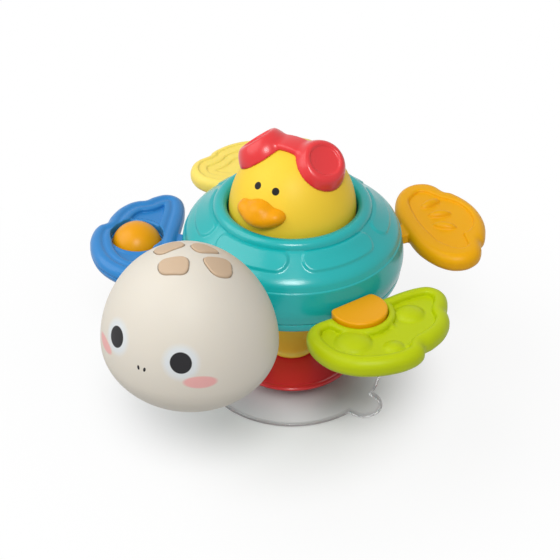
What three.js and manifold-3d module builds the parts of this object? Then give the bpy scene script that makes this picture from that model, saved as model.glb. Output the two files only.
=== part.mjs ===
// Suction cup turtle toy: a turtle that turns on a stem, with a duck that turns in its shell,
// a head that tilts on its neck, a rolling ball in one flipper and three chewable flippers.
// Millimetres, +Z up. The origin is the middle of the suction cup's rim, on the table.
// The head points along -Y. Angles are measured from the head, positive towards +X.

import * as THREE from 'three';
import { mergeVertices } from 'three/addons/utils/BufferGeometryUtils.js';
import Module from 'manifold-3d';

const wasm = await Module();
wasm.setup();

// Driving dimensions

// Fits
const GAP = 0.3;

// Suction cup
const CUP_RADIUS = 45.2;
const CUP_RIM_WIDTH = 4;
const CUP_RIM_THICK = 1.6;
const CUP_WALL = 2.2;
const CUP_HOLLOW = 6.2;
const CUP_HUB_RADIUS = 13;
const STUD_RADIUS = 6.5;
const STUD_HEAD_RADIUS = 8.4;
const STUD_HEAD_HEIGHT = 4;
const TAB_ANGLE = 78;
const TAB_WIDTH = 19;
const TAB_REACH = 9.5;

// Base disc and stem
const BASE_RADIUS = 32;
const BASE_BOTTOM = 10.2;
const BASE_LIP = 2.4;
const BASE_CROWN = 0.9;
const STEM_RADIUS = 11;
const STEM_BEAD = 1.4;
const STEM_SHOULDER_RADIUS = 15;
const STEM_SHOULDER_HEIGHT = 4;
const SPINDLE_RADIUS = 6;

// Shell
const SHELL_RADIUS = 52;
const SHELL_FOOT_TUCK = 1;
const SHELL_BOTTOM = 61.4;
const TRAY_HEIGHT = 5;
const SHELL_RIDGE = 82.8;
const SHELL_RIDGE_TUCK = 2.6;
const SHELL_WIDEST = 72;
const SHELL_SLOPE_TOP = 95.4;
const SLOPE_BULGE = 0.6;
const SLOPE_SHORT = 1.4;
const SLOPE_RISE = 2.4;
const BEAD_FILLET = 0.6;
const SHELL_WALL = 2.2;
const BEAD_RADIUS = 3.2;
const BEAD_RISE = 3.6;
const WELL_RADIUS = 29.8;
const WELL_DEPTH = 17;
const PLATE_COUNT = 6;
const PLATE_RAISE = 0.7;
const PLATE_GAP_INNER = 3;
const PLATE_GAP_OUTER = 9;
const PLATE_CORNER = 4;
const HUB_WALL = 4.2;
const HUB_HEIGHT = 8;
const POST_RADIUS = 3.4;
const POST_CIRCLE = 43.5;
const POST_ANGLES = [33, 165, -165, -33];

// Screws and washers
const SCREW_RADIUS = 1.5;
const SCREW_HEAD_RADIUS = 3;
const SCREW_HEAD_HEIGHT = 1.2;
const SCREW_BITE = 8;
const WASHER_RADIUS = 7.8;
const WASHER_THICK = 1.5;
const AXLE_SCREW_RADIUS = 2;
const AXLE_SCREW_HEAD = 4.4;
const AXLE_SCREW_HEAD_HEIGHT = 2.2;

// Duck
const DUCK_CLEARANCE = 0.8;
const DUCK_DOME_START = 94;
const DUCK_DOME_HEIGHT = 33;
const DUCK_FULLNESS = 2;
const DUCK_TURN = -3.5;
const DUCK_WALL = 2.2;
const DUCK_PLATE_THICK = 2.7;
const DUCK_FLANGE = 4;
const DUCK_COLLAR_HEIGHT = 4;
const BILL_WIDTH = 23.6;
const BILL_HEIGHT = 11.4;
const BILL_REACH = 6.5;
const BILL_LIFT = 1.5;
const BILL_BUMP_RADIUS = 4;
const LENS_RADIUS = 7.3;
const LENS_DEPTH = 1.5;
const GOGGLE_RADIUS = 11.8;
const GOGGLE_CUT = 8;
const LENS_X = 17.6;
const LENS_Y = -1.8;
const LENS_Z = 126;
const LENS_TURN_OUT = 38;
const LENS_TURN_FORWARD = 9;
const LENS_TURN_ASIDE = -12;
const BAND_THICK = 2;
const BAND_FRONT = 6;
const BAND_BACK = 5;
const DUCK_HUB_WALL = 2.2;

// Head and neck
const HEAD_HALF_WIDTH = 36.8;
const HEAD_HALF_DEPTH = 34.9;
const HEAD_ABOVE = 42.5;
const HEAD_BELOW = 26;
const HEAD_FULLNESS = 1.89;
const HEAD_Y = -88.1;
const HEAD_Z = 81.1;
const HEAD_SEAM_DROP = 17.5;
const HEAD_WALL = 2.4;
const NECK_Z = 73.4;
const NECK_RADIUS = 5;
const NECK_FLANGE_RADIUS = 6.8;
const NECK_FLANGE_THICK = 2.5;
const HEAD_HUB_LENGTH = 14;
const HEAD_HUB_WALL = 3;
const PAD_RAISE = 0.5;
const PAD_INSET = 0.9;
const PAD_ROUND = 4;
const PAD_ROUND_SHARE = 0.45;
// Corners of the crown pads, x and y: front, right, back, left
const PAD_CORNERS = [
  [[-8, -95.2], [2.8, -89.2], [7.2, -97], [-3.6, -101.2]],
  [[6.2, -87], [13.8, -76.8], [19.6, -85], [15, -91.2]],
  [[-2.4, -81.8], [0.2, -76.2], [10, -76.4], [4.2, -85.8]],
  [[-16.2, -87.6], [-8.8, -79.6], [-2, -83], [-8.8, -92.8]],
];

// Flippers
const FLIPPER_BOTTOM = 64.6;
const FLIPPER_THICK = 9.4;
const FLIPPER_EDGE = 4;
const FLIPPER_TILT = 4;
const FLIPPER_RIM = 5.8;
const ARM_HEIGHT = 5;
const ARM_WIDTH = 9;
const ARM_HEAD_WIDTH = 14;
const ARM_HEAD_DEPTH = 4;
const BLUE_ANGLE = -69;
const GREEN_ANGLE = 62.5;
const ORANGE_ANGLE = 134.5;
const YELLOW_ANGLE = -137;
const BLUE_POCKET = 3.2;
const GREEN_POCKET = 3.6;
const GREEN_WEB = 1.6;
const LEAF_POCKET = 1.1;
const BALL_RADIUS = 11.9;
const BALL_CLEARANCE = 0.8;
const BALL_S = -3;
const BALL_OUT = 21.5;
const BALL_SOCKET_WALL = 3;
const BALL_SOCKET_HALF = 3.6;
const BALL_DROP = 2.8;
const CLIP_RADIUS = 12.2;
const CLIP_PROUD = 1;
const CLIP_S = -4.7;
const CLIP_OUT = 6.7;
const CLIP_LIP = 3;

// Outlines of the flippers: s along the shell towards the tail, then how far out from the shell's side
const FRONT_OUTLINE = [
  [-24, 0.8], [-30, 3.5], [-33.6, 9], [-35, 17], [-33.4, 26], [-28, 34.5], [-20, 40.5], [-11, 44],
  [-3.5, 44.6], [1.4, 43.2], [4.4, 40.2], [10, 39.6], [17, 37.5], [23, 33.6], [26.2, 29.4], [27.6, 26],
  [31, 23], [34.6, 18], [35.2, 12.5], [32.6, 7.6], [27.5, 5], [20, 3.6], [12, 3.2], [0, 2.8], [-12, 1.8],
];
const REAR_HALF_OUTLINE = [
  [12, 4.4], [20, 6.4], [27.5, 10.2], [32.4, 15.4], [34, 22], [32, 28], [28, 31.4], [22.4, 33.6],
  [19.6, 36.6], [13.5, 39.8], [6.8, 41.8],
];
const REAR_ROOT = 4;
const REAR_TIP = 42.4;

// Green pop domes: s, distance out and radius of each
const POP_DOMES = [
  [13.6, 18.4, 6.4], [-18.5, 20.8, 8], [-6.7, 33.2, 4.3], [1.6, 20.9, 1.7], [-0.8, 36.8, 1.6],
];
const POP_FLATNESS = 0.55;
// Orange finger bumps: s, distance out and lean towards the tail in degrees
const LEAF_BUMPS = [[14, 22.5, 17], [4, 23.3, -10], [-5.8, 22, -34]];
const LEAF_BUMP_LENGTH = 11;
const LEAF_BUMP_WIDTH = 4;
const LEAF_BUMP_RAISE = 1.2;
const FEATHER_STEPS = 2;
const FEATHER_STRETCH = 1.06;
const FEATHER_STEP = 1;
const FEATHER_INSET = 4.5;

// Facet counts
const ROUND = 26;
const SMALL_ROUND = 8;
const OUTLINE_POINTS = 30;

// Levels and radii that follow from the sizes above
const baseTop = BASE_BOTTOM + BASE_LIP + BASE_CROWN;
const stemFoot = baseTop + GAP;
const stemBore = STUD_HEAD_RADIUS + GAP;
const stemTop = SHELL_BOTTOM - GAP;
const floorTop = SHELL_BOTTOM + SHELL_WALL;
const hubBore = SPINDLE_RADIUS + GAP;
const hubRadius = hubBore + HUB_WALL;
const hubTop = SHELL_BOTTOM + HUB_HEIGHT;
const spindleTop = hubTop + GAP;
const parting = SHELL_BOTTOM + TRAY_HEIGHT;
const topEdge = parting + GAP / 2;
const bottomEdge = parting - GAP / 2;
const shellFoot = SHELL_RADIUS - SHELL_FOOT_TUCK;
const ridgeRadius = SHELL_RADIUS - SHELL_RIDGE_TUCK;
const shellInner = shellFoot - SHELL_WALL;
const beadMiddle = WELL_RADIUS + BEAD_RADIUS;
const beadTop = SHELL_SLOPE_TOP + BEAD_RISE;
const wellBottom = beadTop - WELL_DEPTH;
const wellOuter = WELL_RADIUS + SHELL_WALL;
const slopeStart = new THREE.Vector2(WELL_RADIUS + 2 * BEAD_RADIUS + BEAD_FILLET, SHELL_SLOPE_TOP);
const slopeEnd = new THREE.Vector2(ridgeRadius - SLOPE_SHORT, SHELL_RIDGE + SLOPE_RISE);
const duckRadius = WELL_RADIUS - DUCK_CLEARANCE;
const duckPlateTop = wellBottom - GAP;
const duckPlateBottom = duckPlateTop - DUCK_PLATE_THICK;
const duckFoot = duckPlateTop + GAP;
const billMiddle = beadTop + BILL_LIFT + BILL_HEIGHT / 2;
const goggleTop = DUCK_DOME_START + DUCK_DOME_HEIGHT + GOGGLE_RADIUS;
const headBack = HEAD_Y + HEAD_HALF_DEPTH;
const headSeam = HEAD_Z - HEAD_SEAM_DROP;
const flipperTop = FLIPPER_BOTTOM + FLIPPER_THICK;
const flipperMiddle = FLIPPER_BOTTOM + FLIPPER_THICK / 2;
const ballMiddle = flipperMiddle - BALL_DROP;
const ballReach = SHELL_RADIUS + BALL_OUT;
const armBottom = bottomEdge + GAP;
const armTop = armBottom + ARM_HEIGHT;

// Colours
const finish = (color, roughness) => new THREE.MeshStandardMaterial({ color, roughness, metalness: 0 });
const CLEAR = new THREE.MeshStandardMaterial({
  color: 0xe9eef0, roughness: 0.1, transparent: true, opacity: 0.35,
});
const RED = finish(0xdc3237, 0.35);
const YELLOW = finish(0xf6d750, 0.4);
const TEAL = finish(0x24b4b2, 0.35);
const CREAM = finish(0xe6dccb, 0.5);
const TAN = finish(0xd8be9f, 0.55);
const BLUE = finish(0x3a8ccd, 0.4);
const GREEN = finish(0xbccd14, 0.5);
const ORANGE = finish(0xf3b20a, 0.4);
const AMBER = finish(0xf0a514, 0.4);
const SOFT_YELLOW = finish(0xfade64, 0.5);
const WHITE = finish(0xf0f0ec, 0.5);
const STEEL = new THREE.MeshStandardMaterial({ color: 0xb8bcc0, roughness: 0.35, metalness: 1 });

const toy = new THREE.Group();

// Solids

function solidOf(geometry) {
  const bare = geometry.index ? geometry.toNonIndexed() : geometry.clone();
  bare.deleteAttribute('normal');
  bare.deleteAttribute('uv');
  const merged = mergeVertices(bare, 1e-4);
  return new wasm.Manifold(new wasm.Mesh({
    numProp: 3,
    vertProperties: new Float32Array(merged.attributes.position.array),
    triVerts: new Uint32Array(merged.index.array),
  }));
}

function geometryOf(solid) {
  const mesh = solid.getMesh();
  const geometry = new THREE.BufferGeometry();
  geometry.setAttribute('position', new THREE.BufferAttribute(new Float32Array(mesh.vertProperties), 3));
  geometry.setIndex(new THREE.BufferAttribute(new Uint32Array(mesh.triVerts), 1));
  return geometry;
}

function place(name, geometry, material, angle = 0) {
  const mesh = new THREE.Mesh(geometry, material);
  mesh.name = name;
  mesh.rotation.z = THREE.MathUtils.degToRad(angle);
  toy.add(mesh);
  return mesh;
}

// A profile of [radius, height] pairs turned about +Z; one that stays off the axis is closed on itself
function turned(profile, facets = ROUND) {
  const points = profile.map(([r, z]) => new THREE.Vector2(r, z));
  const onAxis = points[0].x === 0 && points[points.length - 1].x === 0;
  if (!onAxis) {
    points.push(points[0].clone());
  }
  return new THREE.LatheGeometry(points, facets).rotateX(Math.PI / 2);
}

function rod(radius, from, to, facets = SMALL_ROUND) {
  return turned([[0, from], [radius, from], [radius, to], [0, to]], facets);
}

function ball(radius, x, y, z, facets = 18) {
  const half = new THREE.SphereGeometry(radius, facets, Math.round(facets / 2));
  return half.rotateX(Math.PI / 2).translate(x, y, z);
}

function block(width, depth, from, to, x, y) {
  return new THREE.BoxGeometry(width, depth, to - from).translate(x, y, (from + to) / 2);
}

// A quarter round from one profile point to the next, about the given middle
function arc(middleR, middleZ, radius, fromDegrees, toDegrees, steps) {
  const points = [];
  for (let i = 0; i <= steps; i += 1) {
    const angle = THREE.MathUtils.degToRad(fromDegrees + ((toDegrees - fromDegrees) * i) / steps);
    points.push([middleR + radius * Math.cos(angle), middleZ + radius * Math.sin(angle)]);
  }
  return points;
}

// Suction cup: a thin dish with a flat rim, a hub, a mushroom stud and a pull tab

function suctionCup() {
  const rimInner = CUP_RADIUS - CUP_RIM_WIDTH;
  const hubTopZ = BASE_BOTTOM - GAP;
  const under = [];
  const over = [];
  const steps = 3;
  for (let i = 0; i <= steps; i += 1) {
    const t = i / steps;
    const rise = Math.sin((t * Math.PI) / 2);
    under.push([rimInner * (1 - t), CUP_HOLLOW * rise]);
    over.push([CUP_HUB_RADIUS + (CUP_RADIUS - 1 - CUP_HUB_RADIUS) * (1 - t),
      CUP_RIM_THICK + (CUP_HOLLOW + CUP_WALL - CUP_RIM_THICK) * rise]);
  }
  const stud = [
    [CUP_HUB_RADIUS, hubTopZ], [STUD_RADIUS, hubTopZ], [STUD_RADIUS, stemFoot], [STUD_HEAD_RADIUS, stemFoot],
    [STUD_HEAD_RADIUS, stemFoot + STUD_HEAD_HEIGHT / 2],
    [STUD_HEAD_RADIUS * 0.6, stemFoot + STUD_HEAD_HEIGHT],
    [0, stemFoot + STUD_HEAD_HEIGHT],
  ];
  const profile = [
    ...under.reverse(), [CUP_RADIUS, 0], [CUP_RADIUS, CUP_RIM_THICK * 0.7], ...over, ...stud,
  ];
  const half = TAB_WIDTH / 2;
  const ear = new THREE.Shape();
  const rootY = -(CUP_RADIUS - 3);
  const roundY = -(CUP_RADIUS + TAB_REACH - half * 0.75);
  ear.moveTo(-half, rootY);
  ear.lineTo(-half, -(CUP_RADIUS - 1));
  ear.bezierCurveTo(-half, roundY, -half * 0.8, -(CUP_RADIUS + TAB_REACH), 0, -(CUP_RADIUS + TAB_REACH));
  ear.bezierCurveTo(half * 0.8, -(CUP_RADIUS + TAB_REACH), half, roundY, half, -(CUP_RADIUS - 1));
  ear.lineTo(half, rootY);
  ear.closePath();
  const depth = CUP_RIM_THICK * 0.7;
  const tab = new THREE.ExtrudeGeometry(ear, { depth, bevelEnabled: false, curveSegments: 4 });
  tab.rotateZ(THREE.MathUtils.degToRad(TAB_ANGLE));
  return geometryOf(solidOf(turned(profile)).add(solidOf(tab)));
}

// Base disc with its lip and groove, and the stem that carries the turtle

function baseDisc() {
  const hole = STUD_RADIUS + GAP;
  const lipTop = BASE_BOTTOM + BASE_LIP;
  const half = BASE_LIP / 2;
  const crownFoot = BASE_RADIUS - half - 1.2;
  return turned([
    [hole, BASE_BOTTOM], [BASE_RADIUS - half, BASE_BOTTOM],
    ...arc(BASE_RADIUS - half, BASE_BOTTOM + half, half, -60, 90, 3),
    [crownFoot + 0.5, lipTop - 0.4], [crownFoot, lipTop],
    [(crownFoot + STEM_RADIUS) / 2, lipTop + BASE_CROWN * 0.75],
    [STEM_RADIUS + STEM_BEAD, baseTop], [hole, baseTop],
  ]);
}

function stem() {
  const bead = arc(STEM_RADIUS, stemFoot + STEM_BEAD, STEM_BEAD, -90, 90, 3);
  const flareStart = stemTop - STEM_SHOULDER_HEIGHT * 4;
  return turned([
    [stemBore, stemFoot], ...bead, [STEM_RADIUS, flareStart],
    [(STEM_RADIUS + STEM_SHOULDER_RADIUS) / 2 - 0.6, stemTop - STEM_SHOULDER_HEIGHT * 2],
    [STEM_SHOULDER_RADIUS, stemTop - STEM_SHOULDER_HEIGHT], [STEM_SHOULDER_RADIUS, stemTop],
    [SPINDLE_RADIUS, stemTop], [SPINDLE_RADIUS, spindleTop], [AXLE_SCREW_RADIUS + GAP, spindleTop],
    [AXLE_SCREW_RADIUS + GAP, stemTop - STEM_SHOULDER_HEIGHT], [stemBore, stemTop - STEM_SHOULDER_HEIGHT * 2],
  ], 20);
}

function washer(from) {
  const hole = AXLE_SCREW_RADIUS + GAP;
  return turned([[hole, from], [WASHER_RADIUS, from], [WASHER_RADIUS, from + WASHER_THICK],
    [hole, from + WASHER_THICK]], 12);
}

// A screw with its head on top at the given height, its shank pointing down
function axleScrew(seat, length) {
  return turned([[0, seat - length], [AXLE_SCREW_RADIUS, seat - length], [AXLE_SCREW_RADIUS, seat],
    [AXLE_SCREW_HEAD, seat], [AXLE_SCREW_HEAD * 0.75, seat + AXLE_SCREW_HEAD_HEIGHT],
    [0, seat + AXLE_SCREW_HEAD_HEIGHT]], SMALL_ROUND);
}

// Shell: bottom tray, and a top with the duck's well, six plates, arm slots and screw posts

function slope(t, outward = 0) {
  const middle = slopeStart.clone().lerp(slopeEnd, 0.5);
  const normal = new THREE.Vector2(slopeStart.y - slopeEnd.y, slopeEnd.x - slopeStart.x).normalize();
  middle.addScaledVector(normal, 2 * SLOPE_BULGE);
  const curve = new THREE.QuadraticBezierCurve(slopeStart, middle, slopeEnd);
  const point = curve.getPoint(t).addScaledVector(normal, outward);
  return [point.x, point.y];
}

function slopeLine(outward, steps) {
  return Array.from({ length: steps + 1 }, (_, i) => slope(i / steps, outward));
}

function plateOutline() {
  const outerRadius = slopeEnd.x - 1;
  const innerRadius = slopeStart.x + 0.6;
  const half = Math.PI / PLATE_COUNT;
  const innerHalf = half - PLATE_GAP_INNER / 2 / innerRadius;
  const outerHalf = half - PLATE_GAP_OUTER / 2 / outerRadius;
  const at = (radius, angle) => [radius * Math.sin(angle), -radius * Math.cos(angle)];
  const corner = PLATE_CORNER / outerRadius;
  const shape = new THREE.Shape();
  shape.moveTo(...at(innerRadius, -innerHalf));
  shape.lineTo(...at(outerRadius - PLATE_CORNER, -outerHalf));
  shape.quadraticCurveTo(...at(outerRadius, -outerHalf), ...at(outerRadius, -outerHalf + corner));
  const steps = 3;
  for (let i = 1; i <= steps; i += 1) {
    shape.lineTo(...at(outerRadius, -(outerHalf - corner) + (2 * (outerHalf - corner) * i) / steps));
  }
  shape.quadraticCurveTo(...at(outerRadius, outerHalf), ...at(outerRadius - PLATE_CORNER, outerHalf));
  shape.lineTo(...at(innerRadius, innerHalf));
  for (let i = 1; i < steps; i += 1) {
    shape.lineTo(...at(innerRadius, innerHalf - (2 * innerHalf * i) / steps));
  }
  shape.closePath();
  return shape;
}

function plates() {
  const slab = solidOf(turned([...slopeLine(-SHELL_WALL / 2, 1), ...slopeLine(PLATE_RAISE, 2).reverse()]));
  let all = null;
  for (let i = 0; i < PLATE_COUNT; i += 1) {
    const prism = new THREE.ExtrudeGeometry(plateOutline(), {
      depth: slopeStart.y - slopeEnd.y + 4 * SHELL_WALL, bevelEnabled: false, curveSegments: 2,
    });
    prism.translate(0, 0, slopeEnd.y - 2 * SHELL_WALL).rotateZ((i * 2 * Math.PI) / PLATE_COUNT);
    const plate = slab.intersect(solidOf(prism));
    all = all ? all.add(plate) : plate;
  }
  return all;
}

function around(angle, geometry) {
  return solidOf(geometry.rotateZ(THREE.MathUtils.degToRad(angle)));
}

function shellTop() {
  const bulge = 0.6 * SHELL_RADIUS + 0.4 * ridgeRadius;
  const innerSlope = slopeLine(-SHELL_WALL, 2);
  const innerStart = innerSlope[0];
  const profile = [
    [WELL_RADIUS, wellBottom], ...arc(beadMiddle, beadTop - BEAD_RADIUS, BEAD_RADIUS, 180, 0, 5),
    [slopeStart.x - BEAD_FILLET, SHELL_SLOPE_TOP], ...slopeLine(0, 2),
    [slopeEnd.x + 0.3, slopeEnd.y - 0.8], [ridgeRadius, SHELL_RIDGE + 0.6],
    [ridgeRadius + 0.4, SHELL_RIDGE - 0.8], [bulge, 0.4 * SHELL_WIDEST + 0.6 * SHELL_RIDGE],
    [SHELL_RADIUS, SHELL_WIDEST], [shellFoot, topEdge], [shellInner, topEdge],
    [shellInner, SHELL_WIDEST], [bulge - SHELL_WALL, 0.4 * SHELL_WIDEST + 0.6 * SHELL_RIDGE],
    ...innerSlope.reverse(),
    [wellOuter, innerStart[1]], [wellOuter, wellBottom],
  ];
  let body = solidOf(turned(profile.reverse())).add(plates());
  for (const angle of POST_ANGLES) {
    const top = SHELL_RIDGE + 4;
    body = body.add(around(angle, rod(POST_RADIUS, floorTop + GAP, top).translate(0, -POST_CIRCLE, 0)));
    const pilot = rod(SCREW_RADIUS + GAP, floorTop - 1, floorTop + SCREW_BITE + 1);
    body = body.subtract(around(angle, pilot.translate(0, -POST_CIRCLE, 0)));
  }
  const slotWidth = ARM_WIDTH + 2 * GAP;
  for (const angle of [BLUE_ANGLE, GREEN_ANGLE, ORANGE_ANGLE, YELLOW_ANGLE]) {
    const wallMiddle = SHELL_RADIUS - SHELL_WALL / 2;
    const slot = block(slotWidth, 3 * SHELL_WALL, topEdge - 2, armTop + GAP, 0, -wallMiddle);
    body = body.subtract(around(angle, slot));
  }
  const neckHole = rod(NECK_RADIUS + GAP, 0, SHELL_RADIUS + 5, 24).rotateX(Math.PI / 2);
  const beyond = neckHole.translate(0, -(shellInner - 5), NECK_Z);
  return geometryOf(body.subtract(solidOf(beyond)));
}

function shellBottom() {
  const round = 2.4;
  let body = solidOf(turned([
    [hubBore, SHELL_BOTTOM], [shellFoot - round, SHELL_BOTTOM],
    ...arc(shellFoot - round, SHELL_BOTTOM + round, round, -60, 0, 2),
    [shellFoot, bottomEdge], [shellInner, bottomEdge], [shellInner, floorTop],
    [hubRadius, floorTop], [hubRadius, hubTop], [hubBore, hubTop],
  ]));
  for (const angle of POST_ANGLES) {
    const hole = rod(SCREW_RADIUS + GAP, SHELL_BOTTOM - 1, floorTop + 1).translate(0, -POST_CIRCLE, 0);
    const sink = rod(SCREW_HEAD_RADIUS + GAP, SHELL_BOTTOM - 1, SHELL_BOTTOM + SCREW_HEAD_HEIGHT);
    body = body.subtract(around(angle, hole)).subtract(around(angle, sink.translate(0, -POST_CIRCLE, 0)));
  }
  return geometryOf(body);
}

// A shell screw: its head in the tray's sink, its shank up into the post
function shellScrew() {
  const seat = SHELL_BOTTOM + SCREW_HEAD_HEIGHT - GAP;
  return turned([[0, SHELL_BOTTOM], [SCREW_HEAD_RADIUS, SHELL_BOTTOM], [SCREW_HEAD_RADIUS, seat],
    [SCREW_RADIUS, seat], [SCREW_RADIUS, floorTop + SCREW_BITE], [0, floorTop + SCREW_BITE]], SMALL_ROUND);
}

// Duck: a domed body, its bill and goggles, and the plate that holds it in the well and turns on the hub

function domeProfile(grow, foot, steps) {
  const points = [[duckRadius + grow, foot]];
  for (let i = 0; i <= steps; i += 1) {
    const angle = (i / steps) * (Math.PI / 2);
    const power = 2 / DUCK_FULLNESS;
    const radius = i === steps ? 0 : (duckRadius + grow) * Math.cos(angle) ** power;
    points.push([radius, DUCK_DOME_START + (DUCK_DOME_HEIGHT + grow) * Math.sin(angle) ** power]);
  }
  return points;
}

function domeRadius(z) {
  const share = ((z - DUCK_DOME_START) / DUCK_DOME_HEIGHT) ** DUCK_FULLNESS;
  return duckRadius * (1 - share) ** (1 / DUCK_FULLNESS);
}

function duckBody() {
  return turned([...domeProfile(-DUCK_WALL, duckFoot, 4).reverse(), ...domeProfile(0, duckFoot, 7)]);
}

function domeCutter() {
  return solidOf(turned([[0, wellBottom], ...domeProfile(GAP, wellBottom, 7)]));
}

function duckPlate() {
  const outer = duckRadius + DUCK_FLANGE;
  const collar = duckRadius - DUCK_WALL - GAP;
  const hole = hubRadius + GAP;
  const hubOuter = hole + DUCK_HUB_WALL;
  return turned([
    [hole, floorTop + GAP], [hubOuter, floorTop + GAP], [hubOuter, duckPlateBottom], [outer, duckPlateBottom],
    [outer, duckPlateTop], [collar, duckPlateTop],
    [collar, duckPlateTop + DUCK_COLLAR_HEIGHT], [collar - DUCK_WALL, duckPlateTop + DUCK_COLLAR_HEIGHT],
    [collar - DUCK_WALL, duckPlateTop], [hole, duckPlateTop],
  ]);
}

function duckBill() {
  const half = BILL_WIDTH / 2;
  const lobe = (x, z, halfX, reach, halfZ) => {
    const surface = DUCK_WALL - Math.sqrt(domeRadius(billMiddle) ** 2 - x ** 2);
    return solidOf(ball(1, 0, 0, 0, 12).scale(halfX, reach, halfZ).translate(x, surface, z));
  };
  const reach = BILL_REACH + 2;
  const low = lobe(0, billMiddle - 1, half * 0.86, reach, BILL_HEIGHT * 0.45);
  const bumpMiddle = billMiddle + BILL_HEIGHT / 2 - BILL_BUMP_RADIUS;
  const bump = lobe(0, bumpMiddle, BILL_BUMP_RADIUS, reach - 1, BILL_BUMP_RADIUS);
  const left = lobe(-half * 0.62, billMiddle + 0.8, half * 0.4, reach - 1.5, BILL_HEIGHT * 0.24);
  const right = lobe(half * 0.62, billMiddle + 0.8, half * 0.4, reach - 1.5, BILL_HEIGHT * 0.24);
  return geometryOf(low.add(bump).add(left).add(right).subtract(domeCutter()));
}

function lensFrame(side) {
  const out = THREE.MathUtils.degToRad(LENS_TURN_OUT) * side;
  const forward = THREE.MathUtils.degToRad(LENS_TURN_FORWARD);
  const aside = THREE.MathUtils.degToRad(LENS_TURN_ASIDE);
  const turn = new THREE.Matrix4().makeRotationZ(aside)
    .multiply(new THREE.Matrix4().makeRotationX(forward)).multiply(new THREE.Matrix4().makeRotationY(out));
  return new THREE.Matrix4().makeTranslation(side * LENS_X, LENS_Y, LENS_Z).multiply(turn);
}

function goggles() {
  const lensCut = rod(LENS_RADIUS, GOGGLE_CUT - LENS_DEPTH, GOGGLE_RADIUS + 1, 16);
  const faceCut = rod(2 * GOGGLE_RADIUS, GOGGLE_CUT, 2 * GOGGLE_RADIUS);
  const cup = solidOf(ball(GOGGLE_RADIUS, 0, 0, 0, 16)).subtract(solidOf(lensCut)).subtract(solidOf(faceCut));
  let body = null;
  for (const side of [-1, 1]) {
    const placed = geometryOf(cup).translate(0, 0, -GOGGLE_CUT).applyMatrix4(lensFrame(side));
    body = body ? body.add(solidOf(placed)) : solidOf(placed);
  }
  const over = solidOf(turned([[0, wellBottom], ...domeProfile(GAP + BAND_THICK, wellBottom, 7)]));
  const bandMiddle = (BAND_BACK - BAND_FRONT) / 2;
  const strip = block(2 * LENS_X, BAND_FRONT + BAND_BACK, DUCK_DOME_START, goggleTop, 0, bandMiddle);
  return geometryOf(body.add(over.intersect(solidOf(strip))).subtract(domeCutter()));
}

// Head: an egg in two shells with a neck bearing, on an axle held in the turtle's shell

function eggProfile(grow, from, to, steps) {
  const points = [];
  for (let i = 0; i <= steps; i += 1) {
    const angle = from + ((to - from) * i) / steps;
    const height = angle >= 0 ? HEAD_ABOVE + grow : HEAD_BELOW + grow;
    const power = 2 / HEAD_FULLNESS;
    const c = Math.abs(angle) > Math.PI / 2 - 1e-6 ? 0 : Math.cos(angle) ** power;
    const s = Math.sign(angle) * Math.abs(Math.sin(angle)) ** power;
    points.push([(HEAD_HALF_WIDTH + grow) * c, height * s]);
  }
  return points;
}

function seamAngle(grow, seam) {
  const depth = (HEAD_Z - seam) / (HEAD_BELOW + grow);
  return -Math.asin(depth ** (HEAD_FULLNESS / 2));
}

function headShape(profile, facets = ROUND) {
  const depth = HEAD_HALF_DEPTH / HEAD_HALF_WIDTH;
  return turned(profile, facets).scale(1, depth, 1).translate(0, HEAD_Y, HEAD_Z);
}

function wholeHead(grow) {
  const quarter = Math.PI / 2;
  const lower = eggProfile(grow, -quarter, 0, 5);
  const upper = eggProfile(grow, 0, quarter, 8).slice(1);
  return solidOf(headShape([...lower, ...upper]));
}

// A pad's corners moved out square to its sides and rounded, drawn up through the crown
function padAt(index, grow) {
  const corners = PAD_CORNERS[index].map(([x, y]) => new THREE.Vector2(x, y));
  const wide = inset(corners, -grow * Math.SQRT2);
  const shape = new THREE.Shape();
  wide.forEach((corner, i) => {
    const before = wide[(i + wide.length - 1) % wide.length];
    const after = wide[(i + 1) % wide.length];
    const share = (other) => Math.min(PAD_ROUND / corner.distanceTo(other), PAD_ROUND_SHARE);
    const towards = (other) => corner.clone().lerp(other, share(other));
    const from = towards(before);
    const to = towards(after);
    if (i === 0) {
      shape.moveTo(from.x, from.y);
    } else {
      shape.lineTo(from.x, from.y);
    }
    shape.quadraticCurveTo(corner.x, corner.y, to.x, to.y);
  });
  shape.closePath();
  const depth = HEAD_ABOVE + 2 * PAD_RAISE;
  const prism = new THREE.ExtrudeGeometry(shape, { depth, bevelEnabled: false, curveSegments: 3 });
  return solidOf(prism.translate(0, 0, HEAD_Z));
}

function headPad(index) {
  return geometryOf(padAt(index, 0).intersect(wholeHead(PAD_RAISE)).subtract(wholeHead(-PAD_INSET)));
}

function alongNeck(geometry) {
  return geometry.rotateX(Math.PI / 2).translate(0, 0, NECK_Z);
}

function headTop() {
  const seam = headSeam + GAP / 2;
  const quarter = Math.PI / 2;
  const outer = [
    ...eggProfile(0, seamAngle(0, seam), 0, 3), ...eggProfile(0, 0, quarter, 7).slice(1),
  ];
  const inner = [
    ...eggProfile(-HEAD_WALL, seamAngle(-HEAD_WALL, seam), 0, 2),
    ...eggProfile(-HEAD_WALL, 0, quarter, 4).slice(1),
  ];
  const bearing = NECK_RADIUS + GAP;
  const hub = solidOf(alongNeck(rod(bearing + HEAD_HUB_WALL, -headBack, HEAD_HUB_LENGTH - headBack, 14)));
  const bore = solidOf(alongNeck(rod(bearing, -headBack - 5, HEAD_HUB_LENGTH - headBack + 5, 14)));
  const pockets = wholeHead(2).subtract(wholeHead(-PAD_INSET - GAP));
  let body = solidOf(headShape([...inner.reverse(), ...outer]));
  body = body.add(hub.intersect(wholeHead(-HEAD_WALL / 2))).subtract(bore);
  for (let i = 0; i < 4; i += 1) {
    body = body.subtract(pockets.intersect(padAt(i, GAP)));
  }
  return geometryOf(body);
}

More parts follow.
